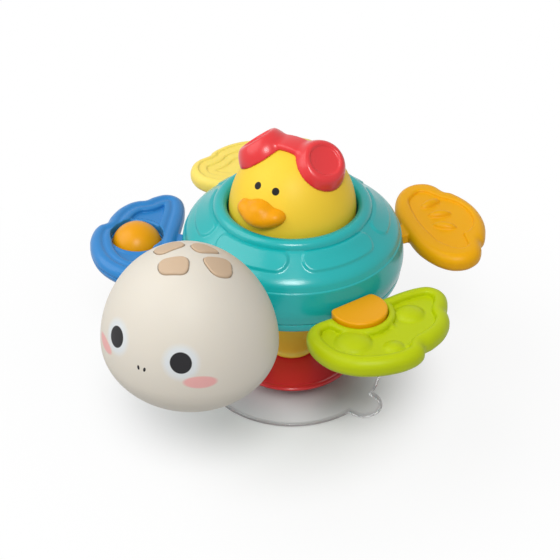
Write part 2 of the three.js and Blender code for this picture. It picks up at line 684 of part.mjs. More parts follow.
function headBottom() {
  const seam = headSeam - GAP / 2;
  const quarter = Math.PI / 2;
  const outer = eggProfile(0, -quarter, seamAngle(0, seam), 3);
  const inner = eggProfile(-HEAD_WALL, -quarter, seamAngle(-HEAD_WALL, seam), 2);
  return headShape([...outer, ...inner.reverse()]);
}

// Neck axle: a flange behind the shell wall on a foot from the tray, and a journal for the head
function neckAxle() {
  const flangeFace = (ridgeRadius - SHELL_WALL) * Math.cos(Math.PI / ROUND) - GAP;
  const flangeBack = flangeFace - NECK_FLANGE_THICK;
  const end = HEAD_HUB_LENGTH - headBack + GAP;
  const pilot = AXLE_SCREW_RADIUS + GAP;
  const axle = solidOf(alongNeck(turned([
    [0, flangeBack], [NECK_FLANGE_RADIUS, flangeBack], [NECK_FLANGE_RADIUS, flangeFace],
    [NECK_RADIUS, flangeFace],
    [NECK_RADIUS, end], [pilot, end], [pilot, end - SCREW_BITE - 1], [0, end - SCREW_BITE - 1],
  ], 14)));
  const flangeMiddle = (flangeBack + flangeFace) / 2;
  const foot = block(NECK_FLANGE_RADIUS, NECK_FLANGE_THICK, floorTop + GAP, NECK_Z, 0, -flangeMiddle);
  return geometryOf(axle.add(solidOf(foot)));
}

// Flippers: lobed fans, each on an arm that passes a slot in the shell and locks behind its wall

function smoothOutline(corners) {
  const nodes = corners.map(([s, out]) => new THREE.Vector3(s, -(SHELL_RADIUS + out), 0));
  const curve = new THREE.CatmullRomCurve3(nodes, true, 'centripetal');
  const points = curve.getSpacedPoints(OUTLINE_POINTS).slice(0, OUTLINE_POINTS);
  return points.map((p) => new THREE.Vector2(p.x, p.y));
}

function rearOutline(stretch) {
  const right = REAR_HALF_OUTLINE.map(([s, out]) => [s, out * stretch]);
  const left = right.map(([s, out]) => [-s, out]).reverse();
  return smoothOutline([[0, REAR_ROOT], ...right, [0, REAR_TIP * stretch], ...left]);
}

// Every point moved square to the outline, inwards for a positive distance
function inset(points, distance) {
  const clockwise = THREE.ShapeUtils.isClockWise(points) ? 1 : -1;
  return points.map((point, i) => {
    const before = points[(i + points.length - 1) % points.length];
    const after = points[(i + 1) % points.length];
    const along = after.clone().sub(before).normalize();
    const side = clockwise * distance;
    return new THREE.Vector2(point.x + side * along.y, point.y - side * along.x);
  });
}

function mirrored(points, side) {
  return points.map((point) => new THREE.Vector2(point.x * side, point.y));
}

function prism(points, from, to) {
  const shape = new THREE.Shape(points);
  const geometry = new THREE.ExtrudeGeometry(shape, { depth: to - from, bevelEnabled: false });
  return geometry.translate(0, 0, from);
}

function fan(points, edge = FLIPPER_EDGE) {
  const geometry = new THREE.ExtrudeGeometry(new THREE.Shape(points), {
    depth: FLIPPER_THICK - 2 * edge,
    bevelThickness: edge,
    bevelSize: edge,
    bevelOffset: -edge,
    bevelSegments: 2,
  });
  return solidOf(geometry.translate(0, 0, FLIPPER_BOTTOM + edge));
}

function arm(reach) {
  const outer = block(ARM_WIDTH, reach - shellInner + ARM_HEAD_DEPTH / 2, armBottom, armTop, 0,
    -(reach + shellInner - ARM_HEAD_DEPTH / 2) / 2);
  const flatInner = shellInner * Math.cos(Math.PI / ROUND);
  const lock = Math.sqrt(flatInner ** 2 - (ARM_HEAD_WIDTH / 2) ** 2) - GAP;
  const head = block(ARM_HEAD_WIDTH, ARM_HEAD_DEPTH, armBottom, armTop, 0, -(lock - ARM_HEAD_DEPTH / 2));
  return solidOf(outer).add(solidOf(head));
}

function blueFlipper() {
  const outline = mirrored(smoothOutline(FRONT_OUTLINE), -1);
  const field = prism(inset(outline, FLIPPER_RIM), flipperTop - BLUE_POCKET, flipperTop + 5);
  const under = prism(inset(outline, FLIPPER_RIM), FLIPPER_BOTTOM - 5, FLIPPER_BOTTOM + BLUE_POCKET);
  const socketOuter = BALL_RADIUS + BALL_SOCKET_WALL;
  const socket = rod(socketOuter, flipperMiddle - BALL_SOCKET_HALF, flipperMiddle + BALL_SOCKET_HALF, 18);
  const seat = ball(BALL_RADIUS + BALL_CLEARANCE, -BALL_S, -ballReach, ballMiddle, 18);
  return fan(outline).subtract(solidOf(field)).subtract(solidOf(under)).add(arm(ballReach - BALL_RADIUS))
    .add(solidOf(socket.translate(-BALL_S, -ballReach, 0))).subtract(solidOf(seat));
}

function blueHalf(upper) {
  const far = 200;
  const cut = flipperMiddle + (upper ? GAP / 2 : -GAP / 2);
  const rest = upper ? block(far, far, cut - far, cut, 0, 0) : block(far, far, cut, cut + far, 0, 0);
  return geometryOf(blueFlipper().subtract(solidOf(rest)));
}

function greenFlipper() {
  const outline = smoothOutline(FRONT_OUTLINE);
  const clipReach = SHELL_RADIUS + CLIP_OUT;
  const lip = rod(CLIP_RADIUS + CLIP_LIP, FLIPPER_BOTTOM, flipperTop, 24).translate(CLIP_S, -clipReach, 0);
  const field = solidOf(prism(inset(outline, FLIPPER_RIM), flipperTop - GREEN_POCKET, flipperTop + 5));
  const hollow = FLIPPER_THICK - GREEN_POCKET - GREEN_WEB;
  const under = solidOf(prism(inset(outline, FLIPPER_RIM), FLIPPER_BOTTOM - 5, FLIPPER_BOTTOM + hollow));
  const wall = solidOf(lip).intersect(fan(outline));
  const web = flipperTop - GREEN_POCKET;
  let body = fan(outline).subtract(field).subtract(under);
  for (const [s, out, radius] of POP_DOMES) {
    const pop = ball(radius, 0, 0, 0, 8).scale(1, 1, POP_FLATNESS);
    body = body.add(solidOf(pop.translate(s, -(SHELL_RADIUS + out), web - GREEN_WEB / 2)));
  }
  const cutOut = rod(CLIP_RADIUS + GAP, FLIPPER_BOTTOM - 5, flipperTop + 5, 24);
  return geometryOf(body.add(wall).subtract(solidOf(cutOut.translate(CLIP_S, -clipReach, 0))));
}

// The clip that carries the soft green flipper: a disc cut straight where it meets the shell
function greenClip() {
  const root = SHELL_RADIUS + 2 * GAP;
  const middle = SHELL_RADIUS + CLIP_OUT;
  const corner = Math.asin((middle - root) / CLIP_RADIUS);
  const disc = new THREE.Shape();
  disc.absarc(CLIP_S, -middle, CLIP_RADIUS, corner, Math.PI - corner, true);
  disc.closePath();
  const depth = flipperTop + CLIP_PROUD - armBottom;
  const plate = new THREE.ExtrudeGeometry(disc, { depth, bevelEnabled: false, curveSegments: 16 });
  return geometryOf(solidOf(plate.translate(0, 0, armBottom)).add(arm(middle)));
}

function leafFlipper() {
  const outline = rearOutline(1);
  const field = solidOf(prism(inset(outline, FLIPPER_RIM), flipperTop - LEAF_POCKET, flipperTop + 5));
  let body = fan(outline).subtract(field).add(arm(SHELL_RADIUS + 2 * REAR_ROOT));
  for (const [s, out, lean] of LEAF_BUMPS) {
    const bump = ball(1, 0, 0, 0, 12).scale(LEAF_BUMP_WIDTH / 2, LEAF_BUMP_LENGTH / 2, LEAF_BUMP_RAISE + 1);
    bump.rotateZ(THREE.MathUtils.degToRad(lean));
    body = body.add(solidOf(bump.translate(s, -(SHELL_RADIUS + out), flipperTop - LEAF_POCKET - 1)));
  }
  return geometryOf(body);
}

function featherFlipper() {
  const outline = rearOutline(FEATHER_STRETCH);
  let body = fan(outline).add(arm(SHELL_RADIUS + 2 * REAR_ROOT));
  for (let i = 1; i <= FEATHER_STEPS; i += 1) {
    const terrace = prism(inset(outline, FEATHER_INSET * i), flipperTop - FEATHER_STEP * i, flipperTop + 5);
    body = body.subtract(solidOf(terrace));
  }
  return geometryOf(body);
}

// Assembly: base and stem

place('suction_cup', suctionCup(), CLEAR);
place('base_disc', baseDisc(), RED);
place('stem', stem(), YELLOW);
place('spindle_washer', washer(spindleTop + GAP), WHITE);
const spindleSeat = spindleTop + WASHER_THICK + 2 * GAP;
place('spindle_screw', axleScrew(spindleSeat, spindleSeat - stemTop + GAP), STEEL);

// Assembly: shell with its neck axle

place('shell_bottom', shellBottom(), TEAL);
place('shell_top', shellTop(), TEAL);
POST_ANGLES.forEach((angle, i) => {
  place(`shell_screw_${i + 1}`, shellScrew().translate(0, -POST_CIRCLE, 0), STEEL, angle);
});
place('neck_axle', neckAxle(), WHITE);

// Assembly: duck

place('duck_body', duckBody(), YELLOW);
place('duck_plate', duckPlate(), WHITE);
place('duck_bill', duckBill(), AMBER, DUCK_TURN);
place('duck_goggles', goggles(), RED, DUCK_TURN);

// Assembly: head

place('head_top', headTop(), CREAM);
place('head_bottom', headBottom(), CREAM);
['front', 'right', 'back', 'left'].forEach((side, i) => {
  place(`head_pad_${side}`, headPad(i), TAN);
});
const neckSeat = HEAD_HUB_LENGTH - headBack + 2 * GAP;
place('neck_washer', alongNeck(washer(neckSeat)), WHITE);
place('neck_screw', alongNeck(axleScrew(neckSeat + WASHER_THICK + GAP, SCREW_BITE)), STEEL);

// Assembly: flippers, each tipped up a little where its arm passes the shell wall

function tipped(geometry) {
  const wallMiddle = SHELL_RADIUS - SHELL_WALL / 2;
  const armMiddle = (armBottom + armTop) / 2;
  return geometry.translate(0, wallMiddle, -armMiddle).rotateX(-THREE.MathUtils.degToRad(FLIPPER_TILT))
    .translate(0, -wallMiddle, armMiddle);
}

place('blue_flipper_top', tipped(blueHalf(true)), BLUE, BLUE_ANGLE);
place('blue_flipper_bottom', tipped(blueHalf(false)), BLUE, BLUE_ANGLE);
place('roller_ball', tipped(ball(BALL_RADIUS, -BALL_S, -ballReach, ballMiddle)), AMBER, BLUE_ANGLE);
place('green_flipper', tipped(greenFlipper()), GREEN, GREEN_ANGLE);
place('green_clip', tipped(greenClip()), ORANGE, GREEN_ANGLE);
place('orange_flipper', tipped(leafFlipper()), ORANGE, ORANGE_ANGLE);
place('yellow_flipper', tipped(featherFlipper()), SOFT_YELLOW, YELLOW_ANGLE);

export default toy;
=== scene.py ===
# Suction cup turtle toy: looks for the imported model.
# Lengths in the sections are millimetres and are written to the meshes in metres.

import math

import bmesh
import bpy
import numpy as np
from mathutils import Matrix, Vector


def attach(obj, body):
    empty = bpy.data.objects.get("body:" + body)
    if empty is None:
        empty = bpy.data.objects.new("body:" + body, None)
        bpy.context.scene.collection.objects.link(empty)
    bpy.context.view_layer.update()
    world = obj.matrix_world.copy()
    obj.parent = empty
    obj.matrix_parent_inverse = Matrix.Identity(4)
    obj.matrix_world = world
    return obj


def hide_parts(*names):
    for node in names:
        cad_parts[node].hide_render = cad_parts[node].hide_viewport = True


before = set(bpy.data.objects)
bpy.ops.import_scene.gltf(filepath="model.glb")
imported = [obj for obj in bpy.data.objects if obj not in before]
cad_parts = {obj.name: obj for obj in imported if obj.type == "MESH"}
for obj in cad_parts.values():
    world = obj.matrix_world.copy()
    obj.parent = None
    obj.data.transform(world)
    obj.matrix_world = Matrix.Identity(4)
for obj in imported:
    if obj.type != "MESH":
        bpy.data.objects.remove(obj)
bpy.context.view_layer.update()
MM = 0.001


# Suction cup
# A thin dish of clear soft plastic with a flat sealing rim, a hub under the red base and
# a pull tab. It is one moulding; its stud is pressed through the base into the stem.

def outline_distance(points, margin=12.0, cell=0.2):
    # Signed distance to a closed outline, negative inside, kept on a raster and read between its cells
    points = np.asarray(points, float)
    low = points.min(0) - margin
    high = points.max(0) + margin
    count = np.ceil((high - low) / cell).astype(int) + 2
    u = low[0] + cell * np.arange(count[0])
    v = low[1] + cell * np.arange(count[1])
    grid = np.stack(np.meshgrid(u, v, indexing="ij"), -1)
    best = np.full(grid.shape[:2], 1e9)
    inside = np.zeros(grid.shape[:2], bool)
    for a, b in zip(points, np.roll(points, -1, 0)):
        ab = b - a
        t = np.clip(((grid - a) @ ab) / max(ab @ ab, 1e-12), 0, 1)
        best = np.minimum(best, np.linalg.norm(grid - a - t[..., None] * ab, axis=-1))
        if a[1] != b[1]:
            crosses = (a[1] > grid[..., 1]) != (b[1] > grid[..., 1])
            at = a[0] + (grid[..., 1] - a[1]) * ab[0] / ab[1]
            inside ^= crosses & (grid[..., 0] < at)
    table = np.where(inside, -best, best)

    def read(x, y):
        i = np.clip((x - low[0]) / cell, 0, count[0] - 1.001)
        j = np.clip((y - low[1]) / cell, 0, count[1] - 1.001)
        i0 = i.astype(int)
        j0 = j.astype(int)
        fi = i - i0
        fj = j - j0
        near = table[i0, j0] * (1 - fi) + table[i0 + 1, j0] * fi
        far = table[i0, j0 + 1] * (1 - fi) + table[i0 + 1, j0 + 1] * fi
        return near * (1 - fj) + far * fj

    return read


def join(a, b, blend):
    # Two forms melted together over the given width
    h = np.clip(0.5 + 0.5 * (b - a) / blend, 0, 1)
    return b + (a - b) * h - blend * h * (1 - h)


def cut(a, b, blend):
    # The form a without the form b, with a soft edge
    return -join(-a, b, blend)


def add_object(name, data):
    made = bpy.data.objects.new(name, data)
    bpy.context.scene.collection.objects.link(made)
    return made


def piece_of(name, vertices, faces, sharp=35):
    mesh = bpy.data.meshes.new(name)
    mesh.from_pydata([tuple(v) for v in np.asarray(vertices) * MM], [], [list(map(int, f)) for f in faces])
    edit = bmesh.new()
    edit.from_mesh(mesh)
    bmesh.ops.remove_doubles(edit, verts=edit.verts, dist=1e-7)
    bmesh.ops.recalc_face_normals(edit, faces=edit.faces)
    edit.to_mesh(mesh)
    edit.free()
    mesh.shade_smooth()
    mesh.set_sharp_from_angle(angle=math.radians(sharp))
    return add_object(name, mesh)


def moulded(name, field, low, high, step, place=None, sharp=60):
    # A smooth closed skin where the field is zero, one point in each cell that it passes,
    # drawn onto the form itself afterwards
    axes = [np.arange(a - 2 * step, b + 3 * step, step) for a, b in zip(low, high)]
    grid = np.stack(np.meshgrid(*axes, indexing="ij"), -1)
    value = field(grid)
    inside = value < 0
    shape = np.array(value.shape) - 1
    total = np.zeros((*shape, 3))
    hits = np.zeros(shape)
    corners = [(i, j, k) for i in (0, 1) for j in (0, 1) for k in (0, 1)]

    def at(array, c):
        return array[c[0]:c[0] + shape[0], c[1]:c[1] + shape[1], c[2]:c[2] + shape[2]]

    for a in corners:
        for axis in range(3):
            if a[axis] == 1:
                continue
            b = tuple(a[i] + (i == axis) for i in range(3))
            va = at(value, a)
            vb = at(value, b)
            crosses = at(inside, a) != at(inside, b)
            t = np.where(crosses, va / np.where(crosses, va - vb, 1), 0)
            pa = at(grid, a)
            total += np.where(crosses[..., None], pa + t[..., None] * (at(grid, b) - pa), 0)
            hits += crosses
    number = np.full(shape, -1)
    live = hits > 0
    number[live] = np.arange(live.sum())
    points = total[live] / hits[live][:, None]
    faces = []
    for axis in range(3):
        u, v = (axis + 1) % 3, (axis + 2) % 3
        lo = [slice(1, -1)] * 3
        lo[axis] = slice(0, -1)
        hi = list(lo)
        hi[axis] = slice(1, None)
        here = inside[tuple(lo)]
        there = inside[tuple(hi)]
        edge = np.argwhere(here != there)
        flip = here[tuple(edge.T)]
        start = edge + np.array([0 if i == axis else 1 for i in range(3)])
        ring = []
        for du, dv in ((-1, -1), (0, -1), (0, 0), (-1, 0)):
            cell = start.copy()
            cell[:, u] += du
            cell[:, v] += dv
            ring.append(number[tuple(cell.T)])
        ring = np.stack(ring, 1)
        ring[~flip] = ring[~flip][:, ::-1]
        faces.append(ring)
    for _ in range(3):
        here = field(points)
        slope = np.stack([
            (field(points + d) - field(points - d)) / (0.4 * step)
            for d in np.eye(3) * 0.2 * step
        ], -1)
        reach = here / np.maximum((slope ** 2).sum(-1), 0.05)
        points = points - slope * np.clip(reach, -0.6 * step, 0.6 * step)[:, None]
    if place is not None:
        points = place(points)
    return piece_of(name, points, np.concatenate(faces), sharp)


def softened(points, steps=6, closed=False):
    # A line whose corners are rounded; a corner is (r, z) or (r, z, size of the round)
    result = []
    count = len(points)
    for i, corner in enumerate(points):
        here = np.array(corner[:2], float)
        size = corner[2] if len(corner) > 2 else 0
        if size == 0 or (not closed and i in (0, count - 1)):
            result.append(here)
            continue
        before = np.array(points[i - 1][:2], float)
        after = np.array(points[(i + 1) % count][:2], float)
        room_before = np.linalg.norm(before - here)
        room_after = np.linalg.norm(after - here)
        start = here + (before - here) * min(size, 0.49 * room_before) / room_before
        end = here + (after - here) * min(size, 0.49 * room_after) / room_after
        for t in np.linspace(0, 1, steps):
            result.append((1 - t) ** 2 * start + 2 * t * (1 - t) * here + t ** 2 * end)
    return np.array(result)


def link(tree, kind, inputs=None, **settings):
    # A node with its settings, and its inputs set to values or joined to other sockets
    made = tree.nodes.new(kind)
    for key, value in settings.items():
        setattr(made, key, value)
    for key, value in (inputs or {}).items():
        if isinstance(value, bpy.types.NodeSocket):
            tree.links.new(value, made.inputs[key])
        else:
            made.inputs[key].default_value = value
    return made


def new_material(name):
    material = bpy.data.materials.new(name)
    material.use_nodes = True
    return material, material.node_tree, material.node_tree.nodes["Principled BSDF"]


def paint(r, g, b):
    # A colour as it is seen on screen, as the shader's linear colour
    shown = (r / 255, g / 255, b / 255)
    return [c / 12.92 if c <= 0.04045 else ((c + 0.055) / 1.055) ** 2.4 for c in shown] + [1]


def cup_profile():
    # Under side from the middle out to the flat rim, then over the dish to the hub and the stud
    under = [(41.2 * (1 - t), 0.05 + 6.2 * math.sin(t * math.pi / 2)) for t in np.linspace(1, 0, 14)]
    over = [(13 + 31.2 * (1 - t), 1.5 + 6.9 * math.sin(t * math.pi / 2)) for t in np.linspace(0, 1, 14)]
    stud = [(13, 9.8), (6.4, 9.8), (6.4, 13.8), (8.2, 14), (8.2, 15.6), (5, 17.5), (0, 17.5)]
    right = under + [(44.6, 0.05), (45.1, 0.5), (45.0, 1.1)] + over + stud
    left = [(-r, z) for r, z in right[::-1] if r > 0]
    return right + left


cup_section = outline_distance(cup_profile(), margin=8, cell=0.15)
tab_turn = math.radians(78)
tab_reach, tab_half = 45.3, 9.3


def cup_form(p):
    across = np.hypot(p[..., 0], p[..., 1])
    dish = cup_section(across, p[..., 2])
    out = p[..., 0] * math.sin(tab_turn) - p[..., 1] * math.cos(tab_turn)
    side = np.abs(p[..., 0] * math.cos(tab_turn) + p[..., 1] * math.sin(tab_turn))
    round_end = np.hypot(side, np.maximum(out - tab_reach, 0)) - tab_half
    ear = np.maximum(np.maximum(round_end, 40.5 - out), np.abs(p[..., 2] - 0.75) - 0.65)
    bead = np.hypot(np.abs(round_end + 1.0), np.maximum(p[..., 2] - 1.1, 0)) - 0.9
    bead = np.maximum(bead, 44 - out)
    return np.maximum(join(dish, join(ear, bead, 0.5), 0.8), 0.05 - p[..., 2])


suction_cup = moulded("clear_suction_cup", cup_form, (-46, -46, 0), (56, 46, 18), 0.6)
clear, tree, shader = new_material("clear_soft_plastic")
place = link(tree, "ShaderNodeTexCoord").outputs["Object"]
haze = link(tree, "ShaderNodeTexNoise", {"Vector": place, "Scale": 55.0, "Detail": 3.0}).outputs["Fac"]
level = link(tree, "ShaderNodeVectorMath", {0: place, 1: (1, 1, 0)}, operation="MULTIPLY").outputs[0]
across = link(tree, "ShaderNodeVectorMath", {0: level}, operation="LENGTH").outputs["Value"]
rim = link(tree, "ShaderNodeMapRange", {"Value": across, "From Min": 0.0434, "From Max": 0.0441})
tab_middle = (tab_reach * MM * math.sin(tab_turn), -tab_reach * MM * math.cos(tab_turn), 0)
from_tab = link(tree, "ShaderNodeVectorMath", {0: level, 1: tab_middle}, operation="DISTANCE")
border = link(tree, "ShaderNodeMapRange", {
    "Value": from_tab.outputs["Value"], "From Min": 0.0074, "From Max": 0.008,
})
thick = link(tree, "ShaderNodeMath", {
    0: rim.outputs["Result"], 1: border.outputs["Result"],
}, operation="MULTIPLY").outputs[0]
facing = link(tree, "ShaderNodeLayerWeight", {"Blend": 0.3}).outputs["Facing"]
film = link(tree, "ShaderNodeMapRange", {"Value": facing, "To Min": 0.05, "To Max": 0.5}).outputs["Result"]
solid = link(tree, "ShaderNodeMix", {0: thick, 2: film, 3: 0.55}).outputs[0]
tree.links.new(solid, shader.inputs["Alpha"])
tree.links.new(thick, shader.inputs["Transmission Weight"])
tone = link(tree, "ShaderNodeMix", {
    0: haze, 6: paint(222, 217, 218), 7: paint(204, 199, 201),
}, data_type="RGBA")
tree.links.new(tone.outputs[2], shader.inputs["Base Color"])
gloss = link(tree, "ShaderNodeMapRange", {"Value": haze, "To Min": 0.06, "To Max": 0.14})
tree.links.new(gloss.outputs["Result"], shader.inputs["Roughness"])
shader.inputs["IOR"].default_value = 1.46
suction_cup.data.materials.append(clear)
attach(suction_cup, "base")
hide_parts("suction_cup")


# Red base disc
# A glossy hard plastic disc with a rolled lip, moulded in one and clamped between the cup
# and the stem's foot.

def turned(name, profile, count=180, depth=1.0, middle=(0, 0, 0), sharp=35):
    # A profile of radius and height turned about the upright axis
    profile = np.asarray(profile, float)
    angle = np.linspace(0, 2 * math.pi, count, endpoint=False)
    vertices = []
    rings = []
    for r, z in profile:
        if r < 1e-6:
            rings.append([len(vertices)] * count)
            vertices.append((0, 0, z))
        else:
            rings.append(list(range(len(vertices), len(vertices) + count)))
            vertices.extend((r * math.sin(a), -r * math.cos(a) * depth, z) for a in angle)
    pairs = list(zip(rings[:-1], rings[1:]))
    if profile[0][0] > 1e-6 or profile[-1][0] > 1e-6:
        pairs.append((rings[-1], rings[0]))
    faces = []
    for a, b in pairs:
        for i in range(count):
            j = (i + 1) % count
            corners = [a[i], a[j], b[j], b[i]]
            face = [c for n, c in enumerate(corners) if c != corners[n - 1]]
            if len(face) > 2:
                faces.append(face)
    return piece_of(name, np.asarray(vertices) + np.asarray(middle), faces, sharp)


def sockets(tree, inputs, outputs):
    # Names what goes into a node group and what comes out, and returns the group's two ends
    for way, named in (("INPUT", inputs), ("OUTPUT", outputs)):
        for name, kind in named.items():
            tree.interface.new_socket(name, in_out=way, socket_type="NodeSocket" + kind)
    return tree.nodes.new("NodeGroupInput"), tree.nodes.new("NodeGroupOutput")


# The skin of a moulded piece: slow shade changes, a little uneven gloss and a fine spark texture
skin = bpy.data.node_groups.new("moulded_skin", "ShaderNodeTree")
given, made = sockets(
    skin, {"Colour": "Color", "Shade": "Float", "Gloss": "Float", "Grain": "Float"},
    {"Colour": "Color", "Roughness": "Float", "Height": "Float"},
)
place = link(skin, "ShaderNodeTexCoord").outputs["Object"]
slow = link(skin, "ShaderNodeTexNoise", {"Vector": place, "Scale": 22.0, "Detail": 2.0}).outputs["Fac"]
patch = link(skin, "ShaderNodeTexNoise", {"Vector": place, "Scale": 90.0, "Detail": 4.0}).outputs["Fac"]
spark = link(skin, "ShaderNodeTexNoise", {
    "Vector": place, "Scale": given.outputs["Grain"], "Detail": 2.0,
}).outputs["Fac"]
much = link(skin, "ShaderNodeMath", {0: slow, 1: given.outputs["Shade"]}, operation="MULTIPLY").outputs[0]
deeper = link(skin, "ShaderNodeMix", {
    0: much, 6: given.outputs["Colour"], 7: (0.0, 0.0, 0.0, 1.0),
}, data_type="RGBA")
skin.links.new(deeper.outputs[2], made.inputs["Colour"])
uneven = link(skin, "ShaderNodeMath", {
    0: patch, 1: 0.12, 2: given.outputs["Gloss"],
}, operation="MULTIPLY_ADD")
skin.links.new(uneven.outputs[0], made.inputs["Roughness"])
swell = link(skin, "ShaderNodeMath", {0: patch, 1: 1.5, 2: spark}, operation="MULTIPLY_ADD")
skin.links.new(swell.outputs[0], made.inputs["Height"])


def plastic(name, colour, gloss=0.22, shade=0.1, grain=1400.0, relief=0.05, soft=0.0, coat=0.0, shine=0.3):
    # A moulded plastic or rubber of one colour
    material, nodes, surface = new_material(name)
    group = link(nodes, "ShaderNodeGroup", {
        "Colour": colour, "Shade": shade, "Gloss": gloss, "Grain": grain,
    }, node_tree=skin)
    nodes.links.new(group.outputs["Colour"], surface.inputs["Base Color"])
    nodes.links.new(group.outputs["Roughness"], surface.inputs["Roughness"])
    bump = link(nodes, "ShaderNodeBump", {
        "Strength": relief, "Distance": 0.0004, "Height": group.outputs["Height"],
    })
    nodes.links.new(bump.outputs["Normal"], surface.inputs["Normal"])
    surface.inputs["Subsurface Weight"].default_value = soft
    surface.inputs["Subsurface Radius"].default_value = (0.004, 0.003, 0.002)
    surface.inputs["Specular IOR Level"].default_value = shine
    surface.inputs["Coat Weight"].default_value = coat
    surface.inputs["Coat Roughness"].default_value = 0.08
    return material


red_plastic = plastic("red_gloss_plastic", paint(222, 46, 50), gloss=0.16, coat=0.25)
base_section = softened([
    (6.8, 10.2), (31.2, 10.2, 0.8), (32, 11.2, 1.2), (32, 12.0, 1.2), (30.8, 12.7, 0.9), (29.6, 12.2, 0.6),
    (28.9, 12.6, 0.5), (21, 13.2, 3), (12.6, 13.5), (6.8, 13.5),
])
base_disc = turned("red_base_disc", base_section)
base_disc.data.materials.append(red_plastic)
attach(base_disc, "base")
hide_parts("base_disc")


# Stem
# A hollow hard plastic post with a beaded foot and a flared shoulder that the turtle turns on.
# It stands on the red base, over the cup's stud.

yellow_plastic = plastic("yellow_gloss_plastic", paint(250, 212, 72), gloss=0.2, coat=0.15, soft=0.08)
stem_section = softened([
    (8.7, 13.8), (11.4, 13.8, 0.5), (12.5, 15.2, 1.4), (11.2, 16.6, 0.6), (11, 18, 1), (11, 45, 8),
    (12.4, 53, 4), (15, 57.1, 1.5), (15, 61.1, 0.6), (6, 61.1), (6, 69.7), (2.3, 69.7), (2.3, 57), (8.7, 53),
])
stem = turned("yellow_stem", stem_section)
stem.data.materials.append(yellow_plastic)
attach(stem, "base")
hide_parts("stem")


# Shell tray
# The lower half of the turtle's shell, a shallow hard plastic dish with a rounded edge and
# four countersunk holes for the screws that pull the top down.

teal_plastic = plastic("teal_gloss_plastic", paint(16, 174, 175), gloss=0.16, shine=0.45)
screw_circle = 43.5
screw_angles = (33, 165, -165, -33)
sink_radius, sink_depth, sink_level = 3.3, 2.6, 61.3
tray_section = softened([
    (6.3, 61.4), (49.8, 61.4, 2.8), (50.9, 64, 2), (51.0, 66.2, 0.4), (48.8, 66.2), (48.8, 63.6),
    (10.5, 63.6), (10.5, 69.4), (6.3, 69.4),
])
tray = turned("shell_tray", tray_section, count=240)
sinks = bmesh.new()
for turn in screw_angles:
    at = Matrix.Rotation(math.radians(turn), 4, "Z")
    at = at @ Matrix.Translation((0, -screw_circle * MM, sink_level * MM))
    bmesh.ops.create_cone(
        sinks, cap_ends=True, segments=32, radius1=sink_radius * MM, radius2=sink_radius * MM,
        depth=sink_depth * MM, matrix=at,
    )
sink_mesh = bpy.data.meshes.new("sinks")
sinks.to_mesh(sink_mesh)
sinks.free()
sink_tool = add_object("sinks", sink_mesh)


def carve(piece, tool):
    # Takes the tool's form out of a piece and clears the tool away
    modifier = piece.modifiers.new("carve", "BOOLEAN")
    modifier.object = tool
    modifier.operation = "DIFFERENCE"
    bpy.context.view_layer.update()
    carved = bpy.data.meshes.new_from_object(piece.evaluated_get(bpy.context.evaluated_depsgraph_get()))
    piece.modifiers.clear()
    piece.data = carved
    piece.data.shade_smooth()
    piece.data.set_sharp_from_angle(angle=math.radians(35))
    bpy.data.objects.remove(tool)


carve(tray, sink_tool)
tray.data.materials.clear()
tray.data.materials.append(teal_plastic)
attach(tray, "shell")
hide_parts("shell_bottom")


# Shell top
# A deep hard plastic ring with a rolled bead round the duck's well and six raised plates on
# its slope. The mould repeats one sixth of it, so one sixth is made and turned round the axis.

plate_raise = 0.8
well_radius = 29.8
slope_from = (36.8, 95.4)


def shell_line():
    # From the foot of the well over the bead, down the slope and the side, and back inside
    bead = [(33 + 3.2 * math.cos(a), 95.8 + 3.2 * math.sin(a)) for a in np.linspace(math.pi, 0.12, 22)]
    run = softened([slope_from, (48.5, 86.3, 3.2), (49.6, 83.2)], steps=26)
    run = np.concatenate([np.linspace(run[0], run[1], 26)[:-1], run[1:]])
    slope = run[(run[:, 0] > 36.9) & (run[:, 1] > 83.6)]
    side = softened([
        (49.4, 83.5), (49.6, 83.0, 0.3), (49.65, 82.7, 0.3), (50.2, 82.4, 0.5), (50.9, 78.5, 2.5),
        (52, 72, 6), (51.1, 66.6, 0.4), (48.8, 66.6),
    ], steps=8)
    inner = [(48.8, 72), (48.6, 78.5), (46.4, 83.0), (35.2, 93.2), (32, 93.2), (32, 82)]
    head = [(well_radius, 82.0), (well_radius, 86.0), (well_radius, 91.0)]
    return np.concatenate([head, bead, [(36.3, 95.55)], slope, side[1:], inner])


def plate_lift(r, z, angle):
    # How far a point of the slope stands up: a rounded plate between the wedge-shaped gaps
    x = np.abs(r * np.sin(angle))
    y = r * np.cos(angle)
    inner_radius, outer_radius = 37.0, 44.2
    inner_half = math.pi / 6 - 1.7 / inner_radius
    outer_half = math.pi / 6 - 4.6 / outer_radius
    a = np.array([inner_radius * math.sin(inner_half), inner_radius * math.cos(inner_half)])
    b = np.array([outer_radius * math.sin(outer_half), outer_radius * math.cos(outer_half)])
    along = (b - a) / np.linalg.norm(b - a)
    beside = (x - a[0]) * along[1] - (y - a[1]) * along[0]
    ring = -join(-(r - outer_radius), -(inner_radius - r), 1.0)
    away = -join(-ring, -beside, 4.5)
    t = np.clip(0.5 - away / 0.9, 0, 1)
    lift = plate_raise * t * t * (3 - 2 * t) * np.clip(1 + 0.05 * away, 0.75, 1)
    return np.where(z > 84.5, lift, 0)


